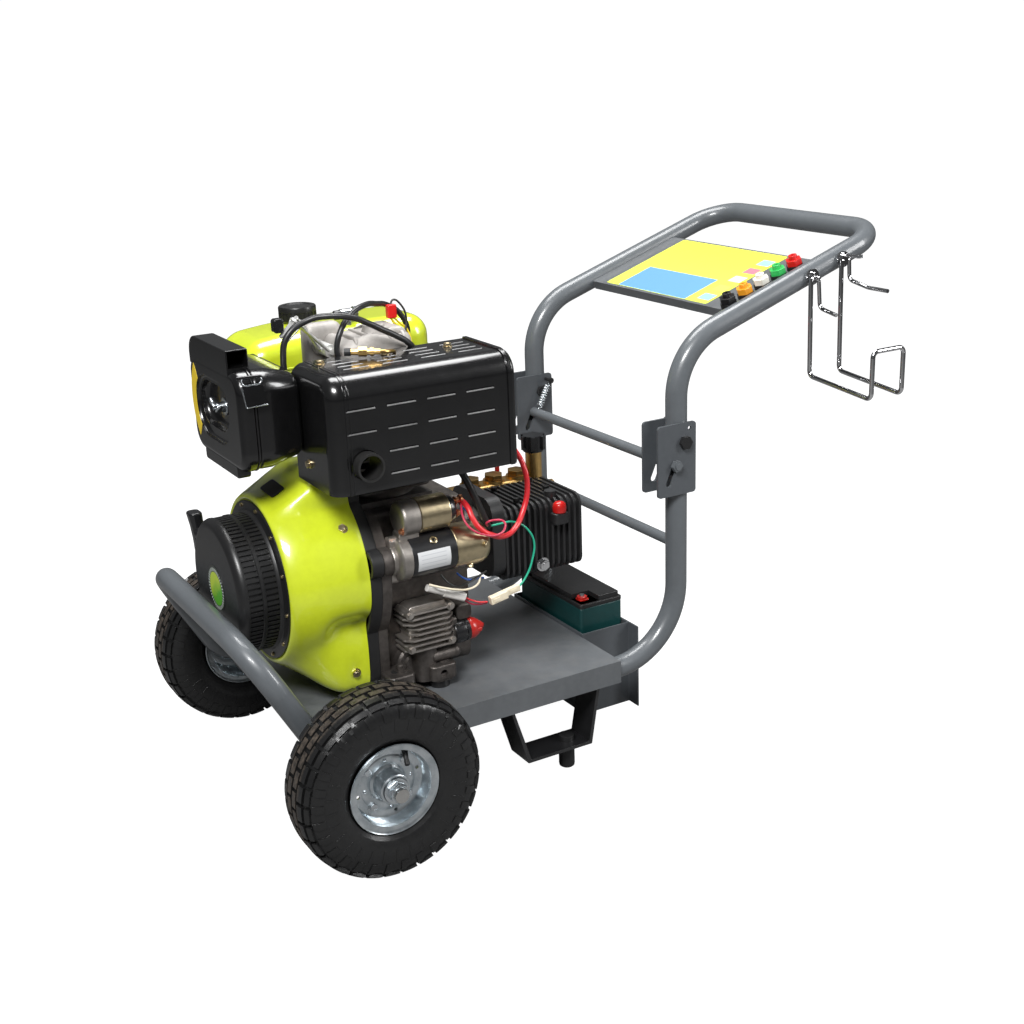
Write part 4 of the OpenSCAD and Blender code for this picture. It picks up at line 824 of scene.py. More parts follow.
@dataclass
class Wheel:
    """A pneumatic trolley wheel: tyre with blocks and lugs, pressed rim, bolts and valve.

    Attributes:
        side: -1 for the near wheel and 1 for the far one.
        place: The word that its names end with.
        groove: Depth of the grooves between the blocks.
        pitches: How many times the tread repeats round the wheel.
        steps: Faces round each repeat.
        seat_radius: Radius at which the tyre's bead sits.
        middle: The wheel's centre, worked out from its solid.
    """

    side: int
    place: str
    radius: float = 130.0
    width: float = 84.0
    groove: float = 4.5
    pitches: int = 30
    steps: int = 6
    rim_radius: float = 63.5
    seat_radius: float = 54.0
    middle: Vector = field(default_factory=Vector)

    def build(self, bench: Bench) -> None:
        """Builds the wheel's pieces on its body."""
        low, high = bench.span(f"tyre_{self.place}")
        self.middle = (low + high) / 2
        body = f"wheel_{self.place}"
        bench.fit(self._tyre(bench), self._tyre_paint(bench), "tyre", f"tyre_{self.place}", body=body,
                  angle=32)
        bench.fit(self._rim(bench), self._rim_paint(bench), "rim", f"rim_{self.place}", body=body, angle=30)
        bench.fit(self._bolts(bench), ZINC, "zinc", body=body)
        bench.fit(self._valve(bench), SEAL_RUBBER, "black_rubber", body=body)

    @property
    def out(self) -> Vector:
        """The direction away from the trolley."""
        return Vector((0, self.side, 0))

    def _angle(self, spot: Vector) -> float:
        """Steps round the wheel from straight ahead to a spot."""
        turn = math.atan2(spot.z - self.middle.z, spot.x - self.middle.x) / math.tau
        return (turn % 1) * self.pitches * self.steps

    def _tyre(self, bench: Bench) -> Piece:
        """The carcass spun from its section, with tread blocks and lugs drawn out of it."""
        crown = self.radius - self.groove
        half = self.width / 2
        side = [(2, crown), (13, crown), (15, crown - 0.2), (27, crown - 2.2), (29, crown - 2.8),
                (36, crown - 7.5), (40, crown - 14), (half - 0.6, crown - 24), (half - 0.4, crown - 33),
                (half - 1.2, crown - 42), (half - 3.4, crown - 49), (half - 5.4, crown - 53.5),
                (half - 6, crown - 54.5), (half - 7.6, crown - 56.5), (half - 9.5, self.rim_radius + 2.6),
                (half - 14, self.rim_radius + 0.6), (half - 17, self.seat_radius + 1.5)]
        inner = [(half - 24, self.seat_radius + 0.6)]
        outline = [(-far, r) for far, r in reversed(side)] + side + inner + [(-f, r) for f, r in inner]
        steps = self.pitches * self.steps
        tyre = bench.lathe(f"tyre_rubber_{self.place}", self.middle, (0, 1, 0), outline + outline[:1], steps)

        def across(centre: Vector) -> float:
            """How far a face is from the middle of the tread."""
            return centre.y - self.middle.y

        def reach(centre: Vector) -> float:
            """How far a face is from the axle."""
            return math.hypot(centre.x - self.middle.x, centre.z - self.middle.z)

        def tread(centre: Vector, normal: Vector) -> bool:
            """Blocks of the tread: four rows, staggered by half a pitch."""
            far = abs(across(centre))
            if reach(centre) < crown - 7 or 13 < far < 15 or 27 < far < 29 or far < 2:
                return False
            stagger = self.steps / 2 if (across(centre) > 0) != (far > 14) else 0
            return (self._angle(centre) + stagger) % self.steps >= 1

        def lug(centre: Vector, normal: Vector) -> bool:
            """Lugs on the shoulders."""
            far = abs(across(centre))
            stagger = self.steps / 2 if across(centre) > 0 else 0
            return far > 29 and crown - 22 < reach(centre) < crown - 7 and \
                (self._angle(centre) + stagger) % self.steps >= 3

        def rib(centre: Vector, normal: Vector) -> bool:
            """Fine ribs on the side walls."""
            return crown - 40 < reach(centre) < crown - 26 and abs(across(centre)) > 36 and \
                int(self._angle(centre)) % self.steps == 1

        bench.push(tyre, tread, self.groove - 0.3, 0.5)
        bench.push(tyre, lug, 1.6, 0.7)
        bench.push(tyre, rib, 0.5, 0.3)
        bench.soften(tyre, 0.5, 1, 42)
        return tyre

    def _reach(self, bench: Bench, paint: Paint) -> Wave:
        """The distance from the axle, in metres."""
        axes = paint.axes()
        centre = self.middle * MM + bench.origin
        flat_x, flat_z = axes[0] - centre.x, axes[2] - centre.z
        return (flat_x * flat_x + flat_z * flat_z) ** 0.5

    def _tyre_paint(self, bench: Bench) -> bpy.types.Material:
        """Black rubber, dusty on the blocks' tops and shiny on the side walls."""
        paint = Paint(f"tyre_rubber_{self.place}")
        reach = self._reach(bench, paint)
        top = reach.step((self.radius - 1.6) * MM, (self.radius - 0.4) * MM)
        scuff = paint.noise(7.0, 6.0, 0.7)
        base = paint.blend(scuff, (0.0065, 0.0065, 0.007), (0.013, 0.013, 0.013))
        dusty = top * scuff.step(0.25, 0.8) * 0.75
        paint.set(Base_Color=paint.blend(dusty, base, (0.125, 0.098, 0.075)))
        paint.set(Roughness=0.3 + dusty * 0.4 + (scuff - 0.5) * 0.16)
        paint.set(Normal=paint.bump(paint.noise(1.6, 5.0, 0.65) + scuff * 1.5, 0.12))
        return bench.shop.keep(paint)

    def _rim(self, bench: Bench) -> Piece:
        """The pressed rim: rolled flanges, well, dished web and hub tube."""
        edge = self.rim_radius
        seat = self.seat_radius
        outer = [(33.6, edge - 1.2), (34.4, edge), (32.6, edge - 0.6), (30.6, edge - 3),
                 (29.4, edge - 6.5), (29, seat + 1.2), (24, seat - 0.2), (10, seat - 0.8),
                 (-14, seat - 0.8), (-24, seat - 0.2), (-29, seat + 1.2), (-29.4, edge - 6.5),
                 (-30.6, edge - 3), (-32.6, edge - 0.6), (-34.4, edge), (-34.6, edge - 1.2)]
        inner = [(-33.2, edge - 2.4), (-32.2, edge - 5.2), (-31.6, seat - 0.6), (-26, seat - 2.4),
                 (-10, seat - 3), (5, seat - 3), (7.6, seat - 4.4), (8.6, seat - 7.2),
                 (8.8, 39.5), (10.2, 37.5), (10.4, 28), (9, 26), (8.8, 21), (-35.6, 21), (-36, 20.4),
                 (-36, 10.6), (36, 10.6), (36, 13.6), (34.6, 14.2), (34.6, 17.6), (36, 18.2),
                 (36, 20.2), (35.4, 21), (16, 21), (13.2, 22.2), (11.4, 25.6), (12.8, 28.2),
                 (12.6, 37), (11.2, 39.4), (11.4, seat - 8), (13.2, seat - 4.8), (17, seat - 3.2),
                 (26, seat - 2.4), (31.4, seat - 0.6), (32, edge - 5.4), (32.8, edge - 2.6)]
        profile = [(far * self.side, r) for far, r in outer + inner]
        rim = bench.lathe(f"pressed_rim_{self.place}", self.middle, (0, 1, 0), profile + profile[:1], 96)
        for turn in range(4):
            spot = self._web_spot(turn * 90 + 12, 44)
            bench.cut(rim, bench.rod("web_hole", spot - self.out * 10, spot + self.out * 10, 2.6, 20))
        return rim

    def _web_spot(self, degrees: float, reach: float, far: float = 11.0) -> Vector:
        """A point on the web's outer face."""
        turn = math.radians(degrees)
        return self.middle + self.out * far + Vector((math.cos(turn), 0, math.sin(turn))) * reach

    def _rim_paint(self, bench: Bench) -> bpy.types.Material:
        """Bright zinc with fine turned rings and a cloudy bloom."""
        paint = Paint(f"zinc_rim_{self.place}")
        reach = self._reach(bench, paint)
        rings = (reach * 5200).sine() * 0.5 + 0.5
        cloud = paint.noise(16.0, 5.0, 0.6)
        bloom = paint.noise(5.0, 4.0, 0.6, 4.0)
        tone = paint.blend(cloud.step(0.3, 0.7), (0.47, 0.52, 0.55), (0.68, 0.72, 0.745))
        paint.set(Base_Color=paint.blend(bloom.step(0.62, 0.8) * 0.5, tone, (0.62, 0.58, 0.47)))
        paint.set(Roughness=0.2 + cloud * 0.14 + bloom * 0.06, Metallic=1.0)
        paint.set(Normal=paint.bump(rings + paint.noise(3.0, 3.0), 0.012))
        return bench.shop.keep(paint)

    def _bolts(self, bench: Bench) -> Piece:
        """Four bolts that hold the rim's halves, and four rivets between them."""
        parts = []
        for turn in range(4):
            parts.append(bench.bolt("rim_bolt", self._web_spot(turn * 90 + 50, 36.5, 11), self.out, 9, 5))
            rivet = bench.ball("rim_rivet", self._web_spot(turn * 90 + 5, 34, 12.4), 2.6)
            parts.append(rivet)
        return bench.join(f"rim_bolts_{self.place}", parts)

    def _valve(self, bench: Bench) -> Piece:
        """The rubber valve stem and its cap, leaning out of the rim's well."""
        foot = self._web_spot(58, self.seat_radius - 5.5, 14)
        head = self._web_spot(56, self.seat_radius - 15, 27)
        lean = (head - foot).normalized()
        stem = bench.rod("stem", foot, head, 4.4, 24, 2.9)
        cap = bench.rod("cap", head - lean, head + lean * 7, 3.5, 20)
        bench.soften(cap, 0.7)
        return bench.join(f"valve_{self.place}", [stem, cap])


@dataclass
class Running:
    """Axle, nuts, stand and feet."""

    def build(self, bench: Bench) -> None:
        """Dresses the running gear."""
        bench.clad("axle", "axle_bar", MACHINED, "steel", 1)
        bench.fit(self._nuts(bench), ZINC, "zinc", "axle_nuts")
        bench.clad("stand_straps", "stand_strap_pair", STRAP_BLACK, "black_gloss", 1.2, 3)
        bench.fit(self._feet(bench), SEAL_RUBBER, "black_rubber", "stand_feet")
        bench.fit(self._foot_nuts(bench), ZINC, "zinc")

    @staticmethod
    def _nuts(bench: Bench) -> Piece:
        """A washer and a dome nut on each end of the axle."""
        low, high = bench.span("axle_nuts")
        nuts = []
        for side, face, end in ((-1, low.y, high.y), (1, high.y, low.y)):
            seat = Vector(((low.x + high.x) / 2, side * abs(face) - side * 15, (low.z + high.z) / 2))
            nut = bench.bolt("axle_nut", seat, (0, side, 0), 24, 12)
            ring = bench.lathe("lock_ring", seat, (0, side, 0),
                               [(12, 10.2), (14.6, 10.2), (14.6, 8), (12, 8), (12, 10.2)], 40)
            nuts += [nut, ring]
        return bench.join("axle_nut_pair", nuts)

    @staticmethod
    def _feet(bench: Bench) -> Piece:
        """Two turned rubber feet with a tread ring."""
        low, high = bench.span("stand_feet")
        feet = []
        for y in (low.y + 12, high.y - 12):
            foot = bench.lathe("foot", ((low.x + high.x) / 2, y, 0), (0, 0, 1),
                               [(0, 0), (0, 9.5), (1.6, 11.4), (5, 12), (26, 12), (29, 11), (31.5, 11.6),
                                (high.z - 0.6, 11.4), (high.z, 10.6), (high.z, 0)], 48)
            feet.append(foot)
        return bench.join("rubber_foot_pair", feet)

    @staticmethod
    def _foot_nuts(bench: Bench) -> Piece:
        """The nut that holds each foot, on top of its strap."""
        low, high = bench.span("stand_feet")
        strap_top = bench.span("stand_straps")[0].z + 5.0
        nuts = [bench.bolt("foot_nut", ((low.x + high.x) / 2, y, strap_top), (0, 0, 1), 13, 8)
                for y in (low.y + 12, high.y - 12)]
        return bench.join("foot_nut_pair", nuts)


@dataclass
class TubeFrame:
    """Bent tubes, deck, brackets, latch and battery tray."""

    def build(self, bench: Bench) -> None:
        """Dresses the frame and the handle's brackets."""
        for node in ("frame_tube", "cross_tube", "handle_tube", "latch_bar"):
            dress(bench, node, FRAME_GREY)
        bench.clad("deck", "folded_deck", DECK_GREY, "frame_paint", 1.6, 3)
        bench.clad("hinge_brackets", "fold_brackets", BRACKET_GREY, "bracket_paint", 0.7)
        bench.clad("hinge_bolts", "pivot_bolts", SATIN_BLACK, "steel", 0.5)
        bench.clad("battery_tray", "folded_tray", BRACKET_GREY, "bracket_paint", 0.8)
        self._springs(bench)

    @staticmethod
    def _springs(bench: Bench) -> None:
        """Two wound latch springs, each with a straight lead at both ends."""
        low, high = bench.span("latch_springs")
        LOG.info("springs from %s to %s", low, high)
        coil_r, wire, turns = 5.0, 1.25, 9
        bar, post = Vector((518.5, 0, 448.5)), Vector((544, 0, 501))
        along = (post - bar).normalized()
        across = Vector((along.z, 0, -along.x))
        length = (post - bar).length
        start, run = 12.0, length - 21.0
        springs = []
        for y in (low.y + coil_r + wire, high.y - coil_r - wire):
            base = Vector((bar.x, y, bar.z))
            route = [base + along * 2.0, base + along * (start - 3)]
            for step in range(turns * 16 + 1):
                turn = math.tau * step / 16
                far = start + run * step / (turns * 16)
                route.append(base + along * far
                             + (across * math.cos(turn) + Vector((0, 1, 0)) * math.sin(turn)) * coil_r)
            route += [base + along * (length - 5), base + along * (length + 1)]
            springs.append(bench.cord("spring", route, wire))
        pair = bench.weld("latch_spring_pair", springs, ZINC, "zinc", "latch_springs", body="", angle=60)
        ends = [spot * MM + bench.origin for spot in (post - along * 6.0, bar + along * 10.0)]
        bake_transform(pair)


@dataclass
class ControlPanel:
    """The panel between the handle's tubes, its label and its nozzles."""

    slope: float = 18.5
    corner: Point = (535, 0, 614)
    label_start: float = 121.0
    label_end: float = 289.0
    label_near: float = -118.0
    label_far: float = 147.0

    def build(self, bench: Bench) -> None:
        """Dresses the panel and what stands on it."""
        bench.clad("control_panel", "panel_sheet", DECK_GREY, "frame_paint", 1.2, 3, body="handle")
        bench.fit(self._label(bench), self._label_paint(bench), "frame_paint", body="handle")
        bench.clad("nozzle_grommets", "nozzle_collars", SEAL_RUBBER, "black_rubber", 0.8, body="handle")
        caps = (DEEP_BLACK, ORANGE, WHITE, GREEN, RED)
        slots = ("black_plastic", "orange_plastic", "white_plastic", "green_plastic", "red_plastic")
        for number, (finish, slot) in enumerate(zip(caps, slots), 1):
            node = f"nozzle_{number}"
            bench.clad(node, f"spray_nozzle_{number}", finish, slot, 0.7, body=node)
        bench.clad("wire_hooks", "wire_hook_set", CHROME, "chrome", body="handle", angle=50)

    def on_slope(self, along: float, across: float, up: float) -> Vector:
        """A point on the panel, in the bench's millimetres."""
        turn = math.radians(self.slope)
        return Vector((self.corner[0] + along * math.cos(turn) - up * math.sin(turn), across,
                       self.corner[2] + along * math.sin(turn) + up * math.cos(turn)))

    def _label(self, bench: Bench) -> Piece:
        """The thin printed sheet, with rounded corners."""
        label = bench.block("panel_label", (self.label_start, self.label_near, 2),
                            (self.label_end, self.label_far, 2.35))
        bench.round_edges(label, 4, 4, lambda a, b: abs(a.z - b.z) > 0.2)
        bench.sculpt(label, lambda spot: self.on_slope(spot.x, spot.y, spot.z))
        return label

    def _label_paint(self, bench: Bench) -> bpy.types.Material:
        """Plain fields of colour on a yellow-green sheet."""
        paint = Paint("panel_label_print")
        x, y, z = paint.axes()
        turn = math.radians(self.slope)
        corner = Vector(self.corner) * MM + bench.origin
        along = ((x - corner.x) * math.cos(turn) + (z - corner.z) * math.sin(turn)) * (1 / MM)
        across = (y - bench.origin.y) * (1 / MM)

        def patch(low: float, high: float, near: float, far: float) -> Wave:
            """1 inside a rectangle of the label and 0 outside it."""
            inside = along.step(low - 0.2, low + 0.2) * (1 - along.step(high - 0.2, high + 0.2))
            return inside * across.step(near - 0.2, near + 0.2) * (1 - across.step(far - 0.2, far + 0.2))

        tone = paint.blend(along.step(self.label_start, self.label_end), (0.72, 0.86, 0.10),
                           (0.80, 0.87, 0.07))
        tone = paint.blend(patch(122, 190, -64, 114), tone, (0.13, 0.32, 0.66))
        squares = ((140, (0.3, 0.62, 0.78)), (170, (0.86, 0.70, 0.12)), (202, (0.80, 0.82, 0.62)),
                   (231, (0.74, 0.20, 0.25)), (260, (0.32, 0.66, 0.72)))
        for middle, colour in squares:
            tone = paint.blend(patch(middle - 9, middle + 9, -112, -84), tone, colour)
        paint.set(Base_Color=tone, Roughness=0.3 + paint.noise(20.0) * 0.1, Coat_Weight=0.3)
        paint.set(Coat_Roughness=COAT_ROUGHNESS, Normal=paint.bump(paint.noise(3.0, 2.0), 0.006))
        return bench.shop.keep(paint)


def dress(bench: Bench, node: str, finish: Finish) -> None:
    """Gives a solid whose shape is right its finish."""
    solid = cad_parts[node]
    solid.data.materials.clear()
    solid.data.materials.append(bench.shop.material(finish))
    LOG.info("%s keeps its own shape", node)


# --- engine


CRANK = Vector((0, -20, 341))


def slab(bench: Bench, name: str, low: Point, high: Point, radius: float, axis: int, edge: float = 0.0,
         steps: int = 4) -> Piece:
    """A block whose four edges along one axis are round.

    Args:
        bench: Where it is shaped.
        name: The piece's name.
        low: Its lowest corner.
        high: Its highest corner.
        radius: Radius of the four edges.
        axis: Number of the axis that they run along.
        edge: Width of the rounding on the other edges, or 0 for none.
        steps: Faces across that rounding.

    Returns:
        The block.
    """
    piece = bench.block(name, low, high)
    if radius:
        bench.round_edges(piece, radius, 10, lambda a, b: abs((a - b).normalized()[axis]) > 0.9)
    if edge:
        bench.soften(piece, edge, steps, 40)
    return piece


@dataclass
class Blower:
    """The lime shroud in front of the engine: a round mouth that flares into the flange behind it.

    Attributes:
        mouth: Radius of the mouth.
        bolt_x: X of the bolts round the flange.
        bolt_angles: Where the bolts stand, in degrees from +Y towards +Z.
        steps: Faces round the turn.
        skin_points: How many points of the section lie on the outside.
        section: The round shell's outline, as X and radius.
    """

    mouth: float = 130.0
    bolt_x: float = 38.0
    bolt_angles: tuple[float, ...] = (139, 232, 308, 41)
    steps: int = 176
    skin_points: int = 24
    section: tuple[tuple[float, float], ...] = (
        (-49.5, 92), (-52, 92), (-52, 112), (-53.2, 113.6), (-54.8, 115.4), (-55, 117.6),
        (-53.6, 119.8), (-50.5, 121.8), (-46, 123.8), (-40.5, 125.6), (-34, 127.2), (-27, 128.4),
        (-19, 129.3), (-11, 129.8), (-3, 130), (5, 130), (13, 130), (21, 130),
        (29, 130), (36, 130), (42, 130), (47, 130), (51.5, 130), (55, 131.2),
        (57.4, 131.8), (58, 131), (58, 127.6), (40, 127.2), (20, 127.2), (0, 127.2),
        (-20, 126), (-34, 123.6), (-44, 119.6), (-49.5, 112))

    def build(self, bench: Bench) -> None:
        """Builds the shroud, its seal, its bolts and the blank plate."""
        shroud = bench.lathe("blower_shroud_skin", CRANK, (1, 0, 0), self.section + self.section[:1],
                             self.steps)
        bench.sculpt(shroud, self._flare)
        bench.fit(shroud, LIME, "lime_paint", "blower_shroud", angle=48)
        bench.clad("shroud_seal", "shroud_gasket", SEAL_RUBBER, "black_rubber", 1.2, 3)
        self._bolts(bench)
        self._plate(bench)

    @staticmethod
    def _box_reach(turn: float, half: float, high: float, power: float) -> float:
        """Distance from the crank to a rounded box's outline in a direction."""
        flat = abs(math.cos(turn) / half) ** power
        tall = abs(math.sin(turn) / high) ** power
        return (flat + tall) ** (-1 / power)

    def outline(self, turn: float) -> float:
        """Distance from the crank to the rear outline, for an angle from +Y towards +Z."""
        box = self._box_reach(turn, 72, 150.5, 9) if math.sin(turn) > 0 else \
            self._box_reach(turn, 105, 162, 12)
        return ((box / 100) ** 34 + (self.mouth / 100 * 0.985) ** 34) ** (1 / 34) * 100

    @staticmethod
    def _rise(value: float, start: float, end: float) -> float:
        """A soft step from 0 to 1."""
        share = min(1, max(0, (value - start) / (end - start)))
        return share * share * (3 - 2 * share)

    def _flare(self, spot: Vector) -> Vector:
        """Moves a point of the round shell out to the flange's outline and into the hollows."""
        turn = math.atan2(spot.z - CRANK.z, spot.y - CRANK.y)
        reach = math.hypot(spot.z - CRANK.z, spot.y - CRANK.y)
        share = self._rise(spot.x, -56, 26) if reach > 112.5 else 0.0
        reach += (self.outline(turn) - self.mouth) * share
        reach -= self._hollows(spot.x, math.degrees(turn) % 360) if reach > 113.0 else 0.0
        return Vector((spot.x, CRANK.y + reach * math.cos(turn), CRANK.z + reach * math.sin(turn)))

    def _hollows(self, x: float, degrees: float) -> float:
        """Depth of the waist on the near side, of the neck's recess and of the bolt dimples."""
        waist = math.exp(-((degrees - 207) / 9.5) ** 2) * 12.0 * self._rise(x, -16, 18)
        far_waist = math.exp(-((degrees - 335) / 9.5) ** 2) * 9.0 * self._rise(x, -16, 18)
        neck = self._rise(degrees, 62, 68) * (1 - self._rise(degrees, 112, 118)) * 3.4 \
            * self._rise(x, -49, -43) * (1 - self._rise(x, 2, 12))
        dimples = sum(math.exp(-((x - self.bolt_x) / 9) ** 2 - ((degrees - angle) / 5) ** 2) * 5
                      for angle in self.bolt_angles)
        return waist + far_waist + neck + dimples

    def skin_at(self, x: float, degrees: float, lift: float = 0.0) -> tuple[Vector, Vector]:
        """A point on the shroud's skin and the way out of it."""
        turn = math.radians(degrees)

        def place(far: float, angle: float) -> Vector:
            """A point on the shroud's outer skin."""
            reach = next(r for place_x, r in reversed(self.section[:self.skin_points]) if place_x <= far)
            return self._flare(Vector((far, CRANK.y + reach * math.cos(angle),
                                       CRANK.z + reach * math.sin(angle))))

        middle = place(x, turn)
        along, around = place(x + 8.0, turn) - middle, place(x, turn + 0.06) - middle
        out = around.cross(along).normalized()
        if out.dot(Vector((0, math.cos(turn), math.sin(turn)))) < 0:
            out = -out
        return middle + out * lift, out

    def _bolts(self, bench: Bench) -> None:
        """Gold bolts in the dimples."""
        bolts = []
        for degrees in self.bolt_angles:
            seat, out = self.skin_at(self.bolt_x, degrees, -0.8)
            bolts.append(bench.bolt("shroud_bolt", seat, out, 10, 6))
        bench.weld("shroud_bolts", bolts, GOLD_ZINC, "zinc")

    def _plate(self, bench: Bench) -> None:
        """A blank dark plate on the neck's recess."""
        seat, out = self.skin_at(-27, 96, 0.2)
        plate = slab(bench, "blank_plate", (-21, -11, 0), (21, 11, 1.6), 4, 2, 0.4, 2)
        across = Vector((0, -1, 0)).cross(out).cross(out) * -1
        across.normalize()
        up = out.cross(across)
        turn = Matrix((across, up, out)).transposed()
        bench.sculpt(plate, lambda spot: seat + turn @ spot)
        bench.fit(plate, SATIN_BLACK, "black_plastic")


@dataclass
class Recoil:
    """The recoil starter: slotted drum, flange screws, sticker and pull grip."""

    steps: int = 156
    section: tuple[tuple[float, float], ...] = (
        (-115.2, 0), (-115.4, 30), (-116, 36), (-116, 84), (-115.2, 88.5), (-113.2, 92.6),
        (-110.2, 95.6), (-106.4, 97), (-103.6, 97), (-103, 96.2), (-84.6, 96.2), (-84, 97.2),
        (-79.6, 97.2), (-79, 96.4), (-61.6, 96.8), (-60.4, 98), (-57.6, 99.4), (-56.2, 102.2),
        (-56, 110.6), (-55.2, 112.4), (-53.6, 112.6), (-52.4, 111.6), (-52.4, 93), (-112, 93),
        (-112, 0))

    def build(self, bench: Bench) -> None:
        """Builds the housing and what it carries."""
        housing = bench.lathe("recoil_drum", CRANK, (1, 0, 0), self.section, self.steps)

        def slot_face(centre: Vector, normal: Vector) -> bool:
            """Faces that sink between the louvres."""
            turn = math.atan2(centre.z - CRANK.z, centre.y - CRANK.y) / math.tau % 1.0
            row = -103.0 < centre.x < -84.6 or -79.0 < centre.x < -61.6
            outer = math.hypot(centre.y - CRANK.y, centre.z - CRANK.z) > 95.0
            return row and outer and int(turn * self.steps) % 2 == 0

        bench.push(housing, slot_face, -2.9, 0.25, True)
        bench.fit(housing, SATIN_BLACK, "black_plastic", "recoil_housing", angle=34)
        screws = []
        for number in range(12):
            turn = math.tau * (number + 0.35) / 12
            seat = CRANK + Vector((-56, 106.4 * math.cos(turn), 106.4 * math.sin(turn)))
            screws.append(bench.bolt("flange_screw", seat, (-1, 0, 0), 4.4, 2.6))
        bench.weld("flange_screws", screws, GOLD_ZINC, "zinc")
        disc = bench.lathe("round_sticker", CRANK + Vector((-115.9, 0, 0)), (1, 0, 0),
                           [(-0.35, 0), (-0.35, 33), (-0.1, 33.3), (0.5, 33.3), (0.5, 0)], 96)
        bench.fit(disc, self._sticker_paint(bench), "black_plastic")
        bench.clad("recoil_spool", "rope_spool", DEEP_BLACK, "black_plastic", 0.6, body="recoil_spool")
        self._grip(bench)

    @staticmethod
    def _sticker_paint(bench: Bench) -> bpy.types.Material:
        """A green field with painted light that grows towards the top and the far side, in a dark rim with a
        pale toothed ring.
        """
        paint = Paint("round_sticker_print")
        _, y, z = paint.axes()
        middle = CRANK * MM + bench.origin
        flat, tall = (y - middle.y) * (1 / MM), (z - middle.z) * (1 / MM)
        reach = (flat * flat + tall * tall) ** 0.5
        turn = paint.node("ShaderNodeMath", {"operation": "ARCTAN2"}, {0: tall, 1: flat})
        teeth = (turn * 40).sine().step(-0.1, 0.3)
        ring = reach.step(24.6, 25.2) * (1 - reach.step(29.4, 30))
        # Painted light: the green grows lighter towards the top and the far side.
        painted_light_fade = (flat * 0.02 + tall * 0.03 + paint.noise(16.0)).step(0.2, 0.9)
        tone = paint.blend(painted_light_fade, (0.10, 0.42, 0.02), (0.50, 0.66, 0.03))
        tone = paint.blend(reach.step(23.6, 24.2), tone, (0.01, 0.014, 0.01))
        tone = paint.blend(ring * teeth * 0.95, tone, (0.66, 0.74, 0.66))
        paint.set(Base_Color=tone, Roughness=0.35 + paint.noise(9.0) * 0.1, Coat_Weight=0.3)
        paint.set(Coat_Roughness=COAT_ROUGHNESS, Normal=paint.bump(paint.noise(2.0), 0.005))
        return bench.shop.keep(paint)

    @staticmethod
    def _grip(bench: Bench) -> None:
        """The pull grip: a waisted bar, a collar and the rope's stub."""
        low, high = bench.span("pull_grip")
        middle = Vector(((low.x + high.x) / 2, high.y - 13, 388))
        grip = slab(bench, "grip_bar", (middle.x - 10, middle.y - 12.6, 357),
                    (middle.x + 10, middle.y + 12.6, 419), 8, 2, 3, 3)
        bench.split(grip, 2)

        def waist(spot: Vector) -> Vector:
            """Draws the grip in at its middle and leans it outwards."""
            far = (spot.z - middle.z) / 31.0
            pinch = 1.0 - 0.16 * math.exp(-(far / 0.55) ** 2)
            lean = (spot.z - 388) * 0.12
            return Vector((middle.x + (spot.x - middle.x) * pinch - lean,
                           middle.y + (spot.y - middle.y) * pinch, spot.z))

        bench.sculpt(grip, waist)
        collar = bench.rod("grip_collar", middle - Vector((0, 20, 0)), middle - Vector((0, 10, 0)),
                           8, 32, 9.6)
        rope = bench.rod("rope_stub", (middle.x, CRANK.y + 2, 388), (middle.x, middle.y - 18, 388), 2.4, 20)
        bench.weld("pull_grip_bar", [grip, collar, rope], DEEP_BLACK, "black_plastic", "pull_grip",
                   body="recoil_grip")


